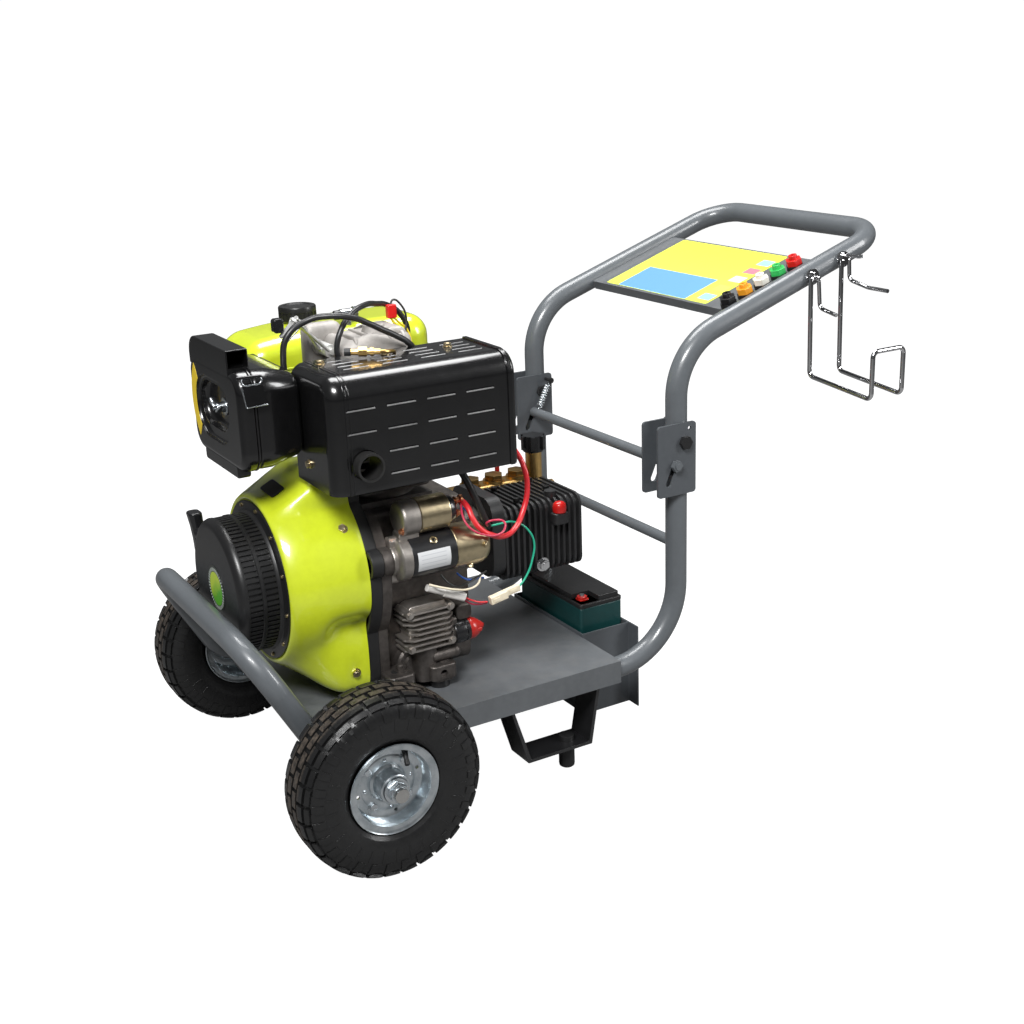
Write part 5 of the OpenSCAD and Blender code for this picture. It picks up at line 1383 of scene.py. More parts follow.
@dataclass
class AirCleaner:
    """Air cleaner with a dished cover, a duct, a wing nut and a side clip."""

    front: float = -92.0
    seam: float = -72.0

    def build(self, bench: Bench) -> None:
        """Builds the case, the cover and the small parts."""
        bench.fit(self._case(bench), SHIELD_BLACK, "black_gloss", "air_cleaner")
        self._cover(bench)
        self._nut(bench)
        self._sticker(bench)
        self._clip(bench)
        foam = bench.copy_of("air_filter", "paper_filter")
        bench.cut(foam, bench.block("filter_front", (-99, -80, 480), (-71, 80, 680)))
        bench.fit(foam, FOAM, "filter_foam", "air_filter")

    def _case(self, bench: Bench) -> Piece:
        """The deep case, drawn in a little towards the engine, with the cover's lip and its pipe."""
        case = slab(bench, "air_case", (self.seam + 1.2, -119, 521), (-3.2, 74, 654), 29, 0, 8)
        bench.cut(case, slab(bench, "case_room", (self.seam - 5, -115, 525), (-8, 70, 650), 26, 0))
        bench.slice(case, (-48, 0, 0), (1, 0, 0))
        bench.slice(case, (-26, 0, 0), (1, 0, 0))

        def draw_in(spot: Vector) -> Vector:
            """Narrows the case towards the engine."""
            share = min(1, max(0, (spot.x + 48) / 44.8))
            return Vector((spot.x, spot.y + (-22 - spot.y) * 0.12 * share,
                           spot.z + (575 - spot.z) * 0.17 * share))

        bench.sculpt(case, draw_in)
        pipe = bench.copy_of("air_cleaner", "air_cleaner_pipe", 0.8)
        bench.cut(pipe, bench.block("pipe_keep", (-9, -60, 500), (140, 60, 640)), "INTERSECT")
        lip = slab(bench, "case_lip", (self.seam + 0.4, -120.4, 519.6), (self.seam + 3.4, 75.4, 655.4),
                   30, 0, 1)
        bench.cut(lip, slab(bench, "lip_room", (self.seam - 5, -117, 523), (-60, 72, 652), 27, 0))
        return bench.join("air_cleaner_case", [case, lip, pipe])

    def _cover(self, bench: Bench) -> None:
        """The cover with its dished face, its duct and the chin below."""
        front, back = self.front, self.seam
        cover = slab(bench, "cover_shell", (front, -120, 520), (back - 0.4, 75, 655), 30, 0)
        bench.round_edges(cover, 11, 6, lambda a, b: max(a.x, b.x) < front + 0.1)
        bench.cut(cover, slab(bench, "cover_room", (front + 4, -116, 524), (back + 9, 71, 651), 26, 0))
        bench.cut(cover, slab(bench, "cover_gap", (front - 9, -78, 547), (front + 9, 52, 632), 40, 0))
        bowl = slab(bench, "cover_bowl", (front + 1.2, -80.5, 544.5), (back - 1, 54.5, 634.5), 42, 0)
        bench.cut(bowl, slab(bench, "cover_dish", (front - 9, -77, 548), (front + 5, 51, 631), 40, 0, 3.5, 4))
        bench.cut(bowl, slab(bench, "cover_well", (front - 9, -62, 562), (back - 4, 44, 624), 30, 0, 7, 5))
        bench.soften(bowl, 0.8, 2, 50)
        duct = bench.block("duct", (front + 0.2, -86, 640), (-62.2, 66, 680))
        bench.round_edges(duct, 26, 8, lambda a, b: min(a.y, b.y) > 60 and min(a.z, b.z) > 670)
        bench.soften(duct, 1.4, 3)
        bench.cut(duct, bench.block("duct_room", (front + 1.8, -90, 656.6), (-63.8, 40, 678.4)))
        bench.soften(cover, 0.9, 2, 50)
        chin = slab(bench, "cover_chin", (front + 0.8, -88, 510), (back - 1, 40, 528), 5, 0, 2.4)
        bench.weld("air_cleaner_lid", [cover, bowl, duct, chin], SHIELD_BLACK, "black_gloss",
                   "air_cleaner_cover")

    def _nut(self, bench: Bench) -> None:
        """Stud, washer and wing nut in the dish."""
        seat = Vector((self.seam - 4, -18, 592))
        parts = [bench.rod("nut_washer", seat, seat - Vector((1.6, 0, 0)), 12, 40),
                 bench.rod("nut_hub", seat, seat - Vector((11, 0, 0)), 8, 32, 6),
                 bench.rod("nut_stud", seat, seat - Vector((17, 0, 0)), 3, 24)]
        for side in (-1, 1):
            wing = bench.ball("nut_wing", (0, 0, 0), 7)
            shape = Matrix.Diagonal((0.8, 1.5, 0.36, 1))
            lean = Matrix.Rotation(math.radians(side * 34), 4, "X")
            place = Matrix.Translation(seat + Vector((-12, side * 11, 3 + side * 3)))
            wing.data.transform(place @ lean @ shape)
            parts.append(wing)
        bench.weld("cover_wing_nut", parts, ZINC, "chrome")

    def _sticker(self, bench: Bench) -> None:
        """A plain yellow crescent at the cover's far edge."""
        face = self.front - 0.3
        band = bench.rod("yellow_crescent", (face, -10, 591), (face + 0.8, -10, 591), 79, 120)
        bench.cut(band, bench.rod("crescent_inner", (face - 5, 115, 591), (face + 5, 115, 591), 82, 120),
                  "INTERSECT")
        bench.cut(band, slab(bench, "crescent_dish", (face - 5, -78.5, 546.5), (face + 5, 52.5, 632.5),
                             40.5, 0))
        bench.fit(band, STICKER_YELLOW, "black_gloss")

    def _clip(self, bench: Bench) -> None:
        """The sprung clip that holds the cover, on the near side, with a bright cord on its plate's edges as
        a painted highlight.
        """
        plate = bench.block("clip_plate", (-88, -124.6, 613), (-59, -122.4, 640))
        bench.sculpt(plate, lambda spot: spot + Vector(((640 - spot.z) * 0.13, (spot.z - 640) * 0.1, 0)))
        bench.soften(plate, 0.6, 2)
        hinge = bench.rod("clip_hinge", (-93, -122.6, 651.5), (-60, -122.6, 650), 2.2, 20)
        bench.weld("cover_clip", [plate, hinge], SHIELD_BLACK, "black_gloss")
        loop = bench.cord("clip_loop", [(-86, -123, 650), (-87, -124, 645), (-83, -124.6, 641),
                                        (-74, -124.8, 641), (-65, -124.6, 641), (-61, -124, 645),
                                        (-62, -123, 650)], 1.3)
        # The bright cord along the plate's left and bottom edges is a painted highlight for the gloss on the
        # bent edges; the loop above is the clip's own wire.
        rim = bench.cord("clip_edge_highlight", [(-88, -124.4, 639), (-86.3, -125.8, 626), (-84.6, -127, 613.6),
                                      (-84, -127.2, 612.6), (-82.6, -127.2, 612.8), (-56.4, -127.2, 613.4)],
                         0.9, False)
        bench.weld("clip_loop_and_edge_highlight", [loop, rim], ZINC, "zinc", angle=60)


@dataclass
class Exhaust:
    """Heat shield with slots and gold bolts, over the muffler and its outlet pipe.

    Attributes:
        side_slot: X and Z of the lowest slot on the near face.
        top_slot: X and Y of the nearest slot on the top.
        side_pitch: Distance between slots on the near face, along X and Z.
        top_pitch: Distance between slots on the top, along X and Y.
        slot_length: Length of a slot on the near face.
        outlet: Middle of the outlet pipe, as X and Z.
    """

    side_slot: tuple[float, float] = (19.5, 513.5)
    top_slot: tuple[float, float] = (40, -149)
    side_pitch: tuple[float, float] = (58, 30.3)
    top_pitch: tuple[float, float] = (56, 18)
    slot_length: float = 42.0
    outlet: tuple[float, float] = (43, 531)

    def build(self, bench: Bench) -> None:
        """Builds the shield, the muffler and the pipe."""
        bench.fit(self._shield(bench), SHIELD_BLACK, "black_gloss", "heat_shield")
        bench.fit(self._lips(bench), SHIELD_BLACK, "black_gloss")
        # A thin black sheet just behind the slotted near wall: painted shade, so the slots read dark.
        shade_sheet = slab(bench, "slot_shade_sheet", (28, -190.5, 500), (262, -189, 632), 6, 1)
        bench.cut(shade_sheet, self._pipe_hole(bench, "shade_sheet_hole", 23))
        bench.fit(shade_sheet, PIPE_BLACK, "black_gloss")
        bench.clad("muffler", "muffler_and_pipe", PIPE_BLACK, "black_gloss", 0.9)
        bolts = [bench.bolt("shield_bolt", spot, (0, 0, 1), 9, 5.4)
                 for spot in ((30, -100, 648), (124, -100, 648), (214, -109, 648))]
        for spot in ((-2.2, -88, 590), (-2.2, -116, 522)):
            bolts.append(bench.bolt("shield_screw", spot, (-1, 0, 0), 9, 5))
        bench.weld("shield_bolts", bolts, GOLD_ZINC, "zinc")

    def _pipe_hole(self, bench: Bench, name: str, radius: float) -> Piece:
        """A round tool that makes room for the outlet pipe."""
        x, z = self.outlet
        return bench.rod(name, (x, -200, z), (x, -180, z), radius, 48)

    def _side_slots(self) -> list[tuple[float, float]]:
        """X and Z of each slot on the near face; the pipe takes the place of two."""
        return [(self.side_slot[0] + self.side_pitch[0] * column,
                 self.side_slot[1] + self.side_pitch[1] * row)
                for row in range(4) for column in range(4) if column or row > 1]

    def _top_slots(self) -> list[tuple[float, float]]:
        """X and Y of each slot on the top."""
        return [(self.top_slot[0] + self.top_pitch[0] * column, self.top_slot[1] + self.top_pitch[1] * row)
                for row in range(4) for column in range(4)]

    def _shield(self, bench: Bench) -> Piece:
        """The bent sheet: round along its length, dished front end and slotted faces."""
        shell = slab(bench, "muffler_shield", (-2, -195, 470), (270, -40, 648), 30, 0)
        room = slab(bench, "shield_room", (0, -193, 460), (268, -30, 646), 28, 0)
        for piece, grow in ((shell, 0), (room, 2)):
            bench.round_edges(piece, 20 - grow, 7, lambda a, b: max(a.x, b.x) < 0.5)
            bench.round_edges(piece, 6 - grow, 4, lambda a, b: min(a.x, b.x) > 267.5)
        bench.cut(shell, room)
        bench.cut(shell, bench.block("shield_open", (-20, -230, 440), (290, 0, 493)))
        bench.cut(shell, bench.block("shield_back", (-20, -72, 440), (290, 0, 700)))
        tools = [self._pipe_hole(bench, "outlet_hole", 20)]
        for x, z in self._side_slots():
            tools.append(bench.block("slot", (x, -198, z), (x + self.slot_length, -190, z + 2)))
        for x, y in self._top_slots():
            tools.append(bench.block("slot", (x, y, 643), (x + 38, y + 2.4, 652)))
        bench.cut(shell, bench.join("shield_tools", tools))
        return shell

    def _lips(self, bench: Bench) -> Piece:
        """Rolled lips: one round each end, and one along the lower edge of each slot, which is painted light
        grey as a painted highlight.
        """
        lips, edges = [], []
        for start, end, grow in ((19, 22.5, 1), (24.5, 27, 0.6), (257, 264, 2.2)):
            ring = slab(bench, "end_lip", (start, -195 - grow, 493 - 30), (end, -72 + 40, 648 + grow),
                        30 + grow, 0, 1)
            hollow = slab(bench, "lip_room", (start - 5, -193.6, 455), (end + 5, -20, 646.6), 28.6, 0)
            bench.cut(ring, hollow)
            bench.cut(ring, bench.block("lip_low", (start - 5, -230, 440), (end + 5, 0, 493)))
            bench.cut(ring, bench.block("lip_back", (start - 5, -72, 440), (end + 5, 0, 700)))
            lips.append(ring)
        for x, z in self._side_slots():
            edges.append(bench.rod("slot_lip", (x + 0.5, -195, z - 0.5),
                                   (x + self.slot_length - 0.5, -195, z - 0.5), 1.1, 12))
        for x, y in self._top_slots():
            edges.append(bench.rod("top_lip", (x + 1, y - 0.3, 647.8), (x + 37, y - 0.3, 647.8), 0.7, 12))
        # The slot lips carry the light grey painted highlight.
        bench.weld("slot_edges", edges, SLOT_LIP_HIGHLIGHT, "black_gloss")
        return bench.join("shield_lips", lips)


@dataclass
class Tank:
    """Fuel tank with its seam, neck, cap and brackets."""

    neck: Point = (99, 140, 0)
    strap_places: tuple[float, float] = (96, 172)

    def build(self, bench: Bench) -> None:
        """Builds the tank and its cap."""
        tank = bench.block("tank_half", (-5, 75, 560), (289, 215, 658))
        bench.round_edges(tank, 33, 9, lambda a, b: True)

        def slope(spot: Vector) -> Vector:
            """Lowers the tank's front end."""
            far = max(0, 1 - (spot.x + 5) / 150) ** 2 * max(0, (spot.z - 609) / 49)
            return Vector((spot.x, spot.y, spot.z - 13 * far))

        for place in (42, 60, 80, 100, 122, 145):
            bench.slice(tank, (place, 0, 0), (1, 0, 0))
        bench.sculpt(tank, slope)
        seam = slab(bench, "tank_seam", (-7, 73, 606), (291, 217, 609.4), 34, 2, 1.2)
        neck = bench.lathe("tank_neck", self.neck, (0, 0, 1),
                           [(655, 30), (658.5, 27), (660.5, 22), (664, 20.8), (672, 20.8),
                            (672, 17.2), (655, 17.2), (655, 30)], 64)
        bench.weld("fuel_tank_skin", [tank, seam, neck], LIME, "lime_paint", "fuel_tank")
        straps = [bench.block("tank_strap", (x, 68.4, 371), (x + 24, 73.2, 560)) for x in self.strap_places]
        straps += [bench.block("tank_shelf", (x, 68.4, 555.8), (x + 24, 168, 559.6))
                   for x in self.strap_places]
        shelf = bench.join("tank_brackets", straps)
        bench.soften(shelf, 0.7)
        bench.fit(shelf, STRAP_BLACK, "black_gloss")
        valve = [bench.rod("valve_body", (148, 98, 670), (172, 98, 670), 8, 32),
                 bench.rod("valve_foot", (160, 98, 652), (160, 98, 666), 5.5, 28),
                 bench.rod("valve_flange", (169, 98, 670), (173, 98, 670), 10, 32)]
        bench.weld("tank_valve", valve, ZINC, "zinc")
        tap = bench.rod("tank_tap", (138, 98, 670), (148, 98, 670), 7, 28)
        bench.soften(tap, 1.4)
        bench.fit(tap, DEEP_BLACK, "black_plastic")
        bench.fit(self._cap(bench), SATIN_BLACK, "black_plastic", "fuel_cap", body="fuel_cap")

    def _cap(self, bench: Bench) -> Piece:
        """The cap: ribbed skirt, rolled top edge and a sunk middle."""
        cap = bench.lathe("tank_cap", self.neck, (0, 0, 1),
                          [(663.2, 21.3), (663.2, 26), (664.6, 26.6), (676, 26.6), (676.6, 27.6),
                           (682.6, 27.6), (684.4, 26.4), (685, 24), (684.8, 20), (683.4, 18.6),
                           (683.4, 0), (675.2, 0), (675.2, 21.3), (663.2, 21.3)], 96)

        def rib(centre: Vector, normal: Vector) -> bool:
            """Grip ribs round the cap, clear of its middle."""
            out = centre - Vector(self.neck)
            turn = math.atan2(out.y, out.x) / math.tau % 1.0
            return 664.6 < centre.z < 676.0 and math.hypot(out.x, out.y) > 25 and \
                int(turn * 96) % 4 == 0

        bench.push(cap, rib, 1.2, 0.3)
        return cap


@dataclass
class Top:
    """Rocker cover, decompression lever, fittings and the hoses above the engine."""

    def build(self, bench: Bench) -> None:
        """Builds what stands on the cylinder head."""
        bench.fit(self._rocker(bench), CAST_SATIN, "cast_aluminium", "rocker_cover")
        coppers = [bench.bolt("copper_bolt", spot, (0, -1, 0), 8.5, 6)
                   for spot in ((62, -48, 636), (62, -48, 628))]
        bench.weld("copper_bolts", coppers, COPPER, "steel")
        pipe = [bench.rod("injector_pipe", (76, -94, 657), (112, -112, 656), 4.2, 32),
                bench.rod("injector_nut", (86, -99, 656.8), (96, -104, 656.5), 6.6, 6),
                bench.rod("injector_ring", (100, -106, 656.4), (104, -108, 656.3), 6, 32)]
        run = bench.cord("injector_run", [(110, -111, 656), (120, -112, 655), (134, -104, 652),
                                          (142, -90, 646), (144, -76, 636)], 2.6)
        bench.weld("injector_line", pipe + [run], BRASS, "brass")
        tip = bench.rod("injector_seal", (69, -90.5, 657.2), (77, -94.5, 657), 5.2, 32)
        bench.fit(tip, SEAL_RUBBER, "black_rubber")
        hoses = [bench.cord("fuel_hose", [(80, -48, 594), (50, -46, 594), (18, -46, 602), (4, -46, 622),
                                          (0, -47, 650), (8, -48, 680), (39, -50, 698), (62, -62, 702),
                                          (92, -74, 698), (116, -77, 686.5), (133, -77, 677), (153, -77, 666),
                                          (170, -76, 655), (184, -66, 640), (190, -56, 622), (190, -54, 606)],
                            4.3),
                 bench.cord("return_hose", [(84, -54, 636), (76, -57, 642), (73, -58, 656), (82, -56, 680),
                                            (102, -46, 697), (130, -30, 704), (160, -6, 699), (186, 14, 691),
                                            (206, 20, 677), (218, 22, 655), (221, 34, 634), (222, 58, 620),
                                            (222, 77, 617)], 4.1)]
        bench.weld("engine_hoses", hoses, HOSE_RUBBER, "black_rubber", "fuel_hoses", angle=60)
        clips = []
        for spot, way in (((190, -54, 609), (0, 0, 1)), ((222, 68, 618.4), (0, 1, 0)),
                          ((66, -47, 593.6), (1, 0, 0))):
            clips.append(bench.lathe("hose_clip", spot, way,
                                     [(0, 4.2), (0, 5.8), (4, 5.8), (4, 4.2), (0, 4.2)], 40))
        bench.weld("hose_clips", clips, ZINC, "zinc")
        self._spring_arm(bench)
        self._plug(bench)

    @staticmethod
    def _spring_arm(bench: Bench) -> None:
        """The bright stamped arm above the lever's boss, with its wound spring and black stop."""
        parts = []
        for start, end, wide in (((72, -36, 648), (20, -36, 701), 15), ((30, -34, 702), (3, -34, 676), 11),
                                 ((38, -22, 694), (62, -22, 650), 10)):
            low, high = Vector(start), Vector(end)
            strap = slab(bench, "stamped_strap", (-wide / 2, -1.3, -(high - low).length / 2),
                         (wide / 2, 1.3, (high - low).length / 2), wide * 0.45, 1, 0.5, 2)
            strap.data.transform(Matrix.Translation((low + high) / 2) @
                                 (high - low).to_track_quat("Z", "Y").to_matrix().to_4x4())
            parts.append(strap)
        turns = [(28 + 6.4 * math.cos(step * 0.8), -33 + step * 0.3, 692 + 6.4 * math.sin(step * 0.8))
                 for step in range(34)]
        parts.append(bench.cord("arm_spring", [(12, -33, 668)] + turns + [(56, -20, 664)], 1.1))
        parts.append(bench.rod("arm_pin", (28, -38.5, 692), (28, -18, 692), 3.4, 24))
        parts.append(bench.rod("arm_hub", (73, -38, 649), (73, -2, 649), 9, 40))
        parts.append(bench.bolt("hub_bolt", (73, -38, 649), (0, -1, 0), 8.5, 5))
        bench.weld("decompression_arm", parts, BRIGHT_STAMPING, "zinc", "decompression_lever",
                   body="decompression", angle=40)
        stop = slab(bench, "arm_stop", (-5, -37, 683), (9, -24, 702), 4, 1, 1.6)
        bench.fit(stop, DEEP_BLACK, "black_plastic", body="decompression")

    @staticmethod
    def _rocker(bench: Bench) -> Piece:
        """A cast cover that swells over the rockers, with ribs, bosses and bolts in one skin."""
        base = slab(bench, "rocker_base", (78, -72, 600.4), (194, 32, 609), 14, 2, 2)
        dome = slab(bench, "rocker_dome", (79, -66, 606), (191, 27, 661), 24, 2, 13, 6)
        bench.split(dome, 2)

        def swell(spot: Vector) -> Vector:
            """Gives the cover its rounded, folded top."""
            share = max(0, (spot.z - 612) / 43)
            lift = 5.0 * math.sin((spot.x - 83) / 106 * math.pi) * share
            flow = 3.0 * math.sin((spot.x - 83) / 106 * math.pi * 3 + (spot.y + 20) * 0.05) * share
            return Vector((spot.x, spot.y * (1 - 0.05 * share), spot.z + lift + flow))

        bench.sculpt(dome, swell)
        lobe = slab(bench, "rocker_lobe", (54, 3, 604), (112, 31, 680), 13, 1, 11, 5)
        parts = [base, dome, lobe]
        for place in (100, 122, 150, 172):
            rib = slab(bench, "rocker_rib", (place, -60, 612), (place + 5, 20, 667), 10, 0, 2.2, 3)
            parts.append(rib)
        parts.append(bench.lathe("rocker_boss", (146, -20, 0), (0, 0, 1),
                                 [(640, 0), (640, 23), (662, 18), (669, 16), (674, 15), (675, 13.5),
                                  (675, 0)], 48))
        parts.append(bench.rod("lever_boss", (73, -1.5, 649), (73, 8, 649), 11, 40))
        parts.append(slab(bench, "rocker_saddle", (150, -50, 640), (184, 14, 672), 12, 1, 6))
        for x, y in ((84, -66), (188, -66), (84, 26), (188, 26)):
            parts.append(bench.bolt("rocker_bolt", (x, y, 609), (0, 0, 1), 9, 8))
        return bench.join("rocker_casting", parts)

    @staticmethod
    def _plug(bench: Bench) -> None:
        """A small red connector with yellow and black leads, tied above the engine."""
        body = slab(bench, "lead_plug", (178, -3, 675), (192, 7, 694), 2, 2, 1.4)
        bench.fit(body, RED, "red_plastic")
        yellow = bench.cord("yellow_lead", [(183, 1, 676), (190, 2, 666), (202, 4, 656), (210, 4, 642),
                                            (208, -2, 626), (200, -8, 608)], 1.8)
        second = bench.cord("yellow_lead_2", [(188, 4, 676), (196, 5, 668), (209, 6, 656), (215, 6, 640),
                                              (212, 0, 622), (206, -6, 606)], 1.6)
        bench.weld("yellow_leads", [yellow, second], WIRE_YELLOW, "black_rubber", angle=60)
        black = bench.cord("black_lead", [(185, 4, 692), (192, 8, 699), (204, 8, 690), (210, 6, 672),
                                          (205, 2, 650), (202, -4, 620), (198, -10, 604)], 1.5)
        bench.fit(black, WIRE_BLACK, "black_rubber", angle=60)


@dataclass
class Block:
    """Crankcase, cylinder, side cover, starter, feet and the small castings on the near side."""

    axis_y: float = -140.0
    axis_z: float = 373.0
    solenoid_z: float = 429.2
    stud_rise: float = 9.0
    filler: Point = (0, -124, 236)

    def build(self, bench: Bench) -> None:
        """Dresses the castings and builds the starter."""
        # The crankcase takes the darker copy of the casting finish, as painted shade.
        casts = {"crankcase": CAST_DARK, "cylinder_head": CAST, "injection_pump": CAST}
        for node, finish in casts.items():
            bench.clad(node, f"{node}_casting", finish, "cast_aluminium", 1.3)
        bench.clad("throttle_lever", "throttle_lever_casting", ZINC, "zinc", 1.3, body="throttle")
        bench.clad("cylinder_barrel", "finned_barrel", CAST_IRON, "cast_iron", 0.5)
        bench.clad("engine_mounts", "mount_bushes", SATIN_BLACK, "black_rubber", 0.8)
        bench.fit(self._fins(bench), CAST, "cast_aluminium", "finned_cover")
        # The near castings take the darker copy too, as painted shade.
        bench.fit(self._small_castings(bench), CAST_DARK, "cast_aluminium")
        self._starter(bench)
        self._solenoid(bench)
        self._plug(bench)

    @staticmethod
    def _fins(bench: Bench) -> Piece:
        """The side cover: a core, eight chamfered fins and four bolts."""
        parts = [slab(bench, "cover_core", (116, -138, 226), (178, -108.4, 296), 8, 1, 2)]
        for number in range(8):
            z = 230.5 + number * 8.0
            step = 8.0 if number in (3, 4) else 0.0
            fin = bench.block("cover_fin", (106 + step, -149, z), (186, -110, z + 3))
            bench.round_edges(fin, 11, 1,
                              lambda a, b: abs((a - b).normalized().z) > 0.9 and min(a.y, b.y) < -140)
            bench.soften(fin, 0.7, 2)
            parts.append(fin)
        for x, z in ((114, 236), (178, 236), (114, 288), (178, 288)):
            parts.append(bench.bolt("cover_bolt", (x, -148, z), (0, -1, 0), 7, 4))
            parts.append(bench.rod("bolt_boss", (x, -148.4, z), (x, -112, z), 6, 32))
        return bench.join("finned_side_cover", parts)

    @staticmethod
    def _small_castings(bench: Bench) -> Piece:
        """Bosses, a cross pipe and a foot block between the side cover and the deck."""
        parts = [bench.rod("low_boss", (150, -134, 212), (186, -134, 212), 9, 40),
                 bench.ball("low_boss_end", (187, -134, 212), 9.4),
                 bench.lathe("drain_drum", (128, -104, 205), (0, -1, 0),
                             [(0, 0), (0, 25), (16, 25), (19, 22), (19, 15), (22, 13), (22, 0)], 48),
                 bench.rod("cover_neck", (142, -124, 178), (142, -124, 232), 17, 40, 21),
                 slab(bench, "filler_arm", (180, -132, 224), (196, -112, 262), 6, 0, 3),
                 bench.rod("filler_tube", (186, -124, 236), (204, -124, 236), 13, 48),
                 slab(bench, "rear_arm", (196, -128, 252), (222, -104, 276), 8, 1, 3)]
        for x in (96, 162):
            foot = slab(bench, "cast_foot", (x - 21, -152, 178.6), (x + 21, -108, 202), 9, 2, 3)
            bench.cut(foot, bench.rod("foot_hole", (x - 2, -160, 190), (x - 2, -138, 190), 5.4, 32))
            parts.append(foot)
            parts.append(bench.bolt("foot_bolt", (x + 6, -132, 202), (0, 0, 1), 13, 9))
        return bench.join("near_castings", parts)

    def _starter(self, bench: Bench) -> None:
        """Starter motor: cast nose, black band with a blank label and gold end."""
        centre = (0, self.axis_y, self.axis_z)
        nose = bench.lathe("starter_nose", centre, (1, 0, 0),
                           [(90.4, 0), (90.4, 21), (92, 22), (96, 22), (98, 29), (101, 31.6), (114, 31.6),
                            (115, 30), (118, 30), (118, 0)], 80)
        ears = [bench.rod("nose_ear", (90.4, self.axis_y, self.axis_z + s * 26),
                          (102, self.axis_y, self.axis_z + s * 26), 8, 32) for s in (-1, 1)]
        web = slab(bench, "nose_web", (90.4, -148, 343), (101, -132, 403), 3, 0, 1.5)
        bench.weld("starter_casting", [nose, web] + ears, CAST, "cast_aluminium", "starter_motor")
        band = bench.lathe("starter_band", centre, (1, 0, 0),
                           [(115, 0), (115, 30.6), (116, 31.2), (182, 31.2), (183, 30.6), (183, 0)], 96)
        bench.fit(band, self._band_paint(bench), "black_gloss")
        end = bench.lathe("starter_end", centre, (1, 0, 0),
                          [(182.4, 0), (182.4, 30.8), (183.4, 31.6), (222, 31.4), (230, 30), (236, 26),
                           (239, 18), (239, 12), (244, 11), (245, 7), (245, 0)], 80)
        bench.fit(end, GOLD_ZINC, "zinc")
        shaft = bench.rod("pinion_shaft", (66, self.axis_y, self.axis_z), (96, self.axis_y, self.axis_z),
                          6, 32)
        gear = bench.rod("pinion", (62, self.axis_y, self.axis_z), (73, self.axis_y, self.axis_z), 10.9, 18)
        bench.weld("starter_pinion", [shaft, gear], MACHINED, "steel")
        bolts = [bench.bolt("through_bolt", (x, self.axis_y - 31 * math.cos(a),
                                             self.axis_z + 31 * math.sin(a)),
                            (0, -math.cos(a), math.sin(a)), 7.5, 4.5) for x, a in ((226, 0.12), (208, -1.05))]
        bolts.append(bench.lathe("band_rivet", (150, -161, 396), (0, -0.68, 0.73),
                                 [(-2, 2.6), (-2, 5.4), (1.6, 5.4), (2.2, 4.6), (2.2, 2.6), (-2, 2.6)], 32))
        bench.weld("starter_bolts", bolts, GOLD_ZINC, "zinc")

    def _band_paint(self, bench: Bench) -> bpy.types.Material:
        """Gloss black with a blank white label on the near side."""
        paint = Paint("starter_band_paint")
        x, y, z = paint.axes()
        middle = Vector((0, self.axis_y, self.axis_z)) * MM + bench.origin
        along = (x - bench.origin.x) * (1 / MM)
        out = paint.node("ShaderNodeMath", {"operation": "ARCTAN2"}, {0: z - middle.z, 1: middle.y - y})
        label = along.step(121.0, 121.4) * (1 - along.step(171.0, 171.4)) * \
            out.step(-0.52, -0.50) * (1 - out.step(0.40, 0.42))
        lines = (out * 33.0).sine().step(0.75, 0.9) * along.step(125, 127) * (1 - along.step(163, 166))
        white = paint.blend(lines * 0.35, (0.60, 0.61, 0.62), (0.2, 0.22, 0.27))
        black = paint.blend(paint.noise(12.0), (0.008, 0.008, 0.009), (0.014, 0.014, 0.015))
        paint.set(Base_Color=paint.blend(label, black, white),
                  Roughness=0.3 + label * 0.2 + paint.noise(8.0) * 0.05)
        paint.set(Normal=paint.bump(paint.noise(1.5), 0.015), Coat_Weight=0.2, Coat_Roughness=COAT_ROUGHNESS)
        return bench.shop.keep(paint)

    def _solenoid(self, bench: Bench) -> None:
        """Solenoid: cast front half, gold can, black cap and copper studs."""
        centre = (0, self.axis_y, self.solenoid_z)
        front = bench.lathe("solenoid_front", centre, (1, 0, 0),
                            [(106, 0), (106, 20), (108, 23), (112, 24.8), (132, 24.8), (133, 24), (134, 0)],
                            72)
        saddle = slab(bench, "solenoid_saddle", (104, -152, 398), (134, -128, 412), 5, 0, 2)
        bench.weld("solenoid_casting", [front, saddle], CAST, "cast_aluminium", "starter_solenoid")
        can = bench.lathe("solenoid_can", centre, (1, 0, 0),
                          [(134, 0), (134, 24), (135, 24.9), (177, 24.9), (179, 24), (180, 21), (180, 0)], 72)
        bench.fit(can, GOLD_ZINC, "zinc")
        cap = bench.lathe("solenoid_cap", centre, (1, 0, 0),
                          [(179, 0), (179, 19.6), (181, 20), (188, 19), (191, 16), (193, 12), (193, 0)], 56)
        bench.fit(cap, DEEP_BLACK, "black_plastic")
        studs = []
        for tall in (self.solenoid_z + self.stud_rise, self.solenoid_z - self.stud_rise):
            studs.append(bench.rod("stud", (192, self.axis_y, tall), (206, self.axis_y, tall), 3.4, 24))
            studs.append(bench.bolt("stud_nut", (196, self.axis_y, tall), (1, 0, 0), 9, 5))
        studs.append(bench.bolt("solenoid_screw", (107, -156, 416), (-1, 0, 0), 7, 5))
        bench.weld("solenoid_studs", studs, COPPER, "zinc")

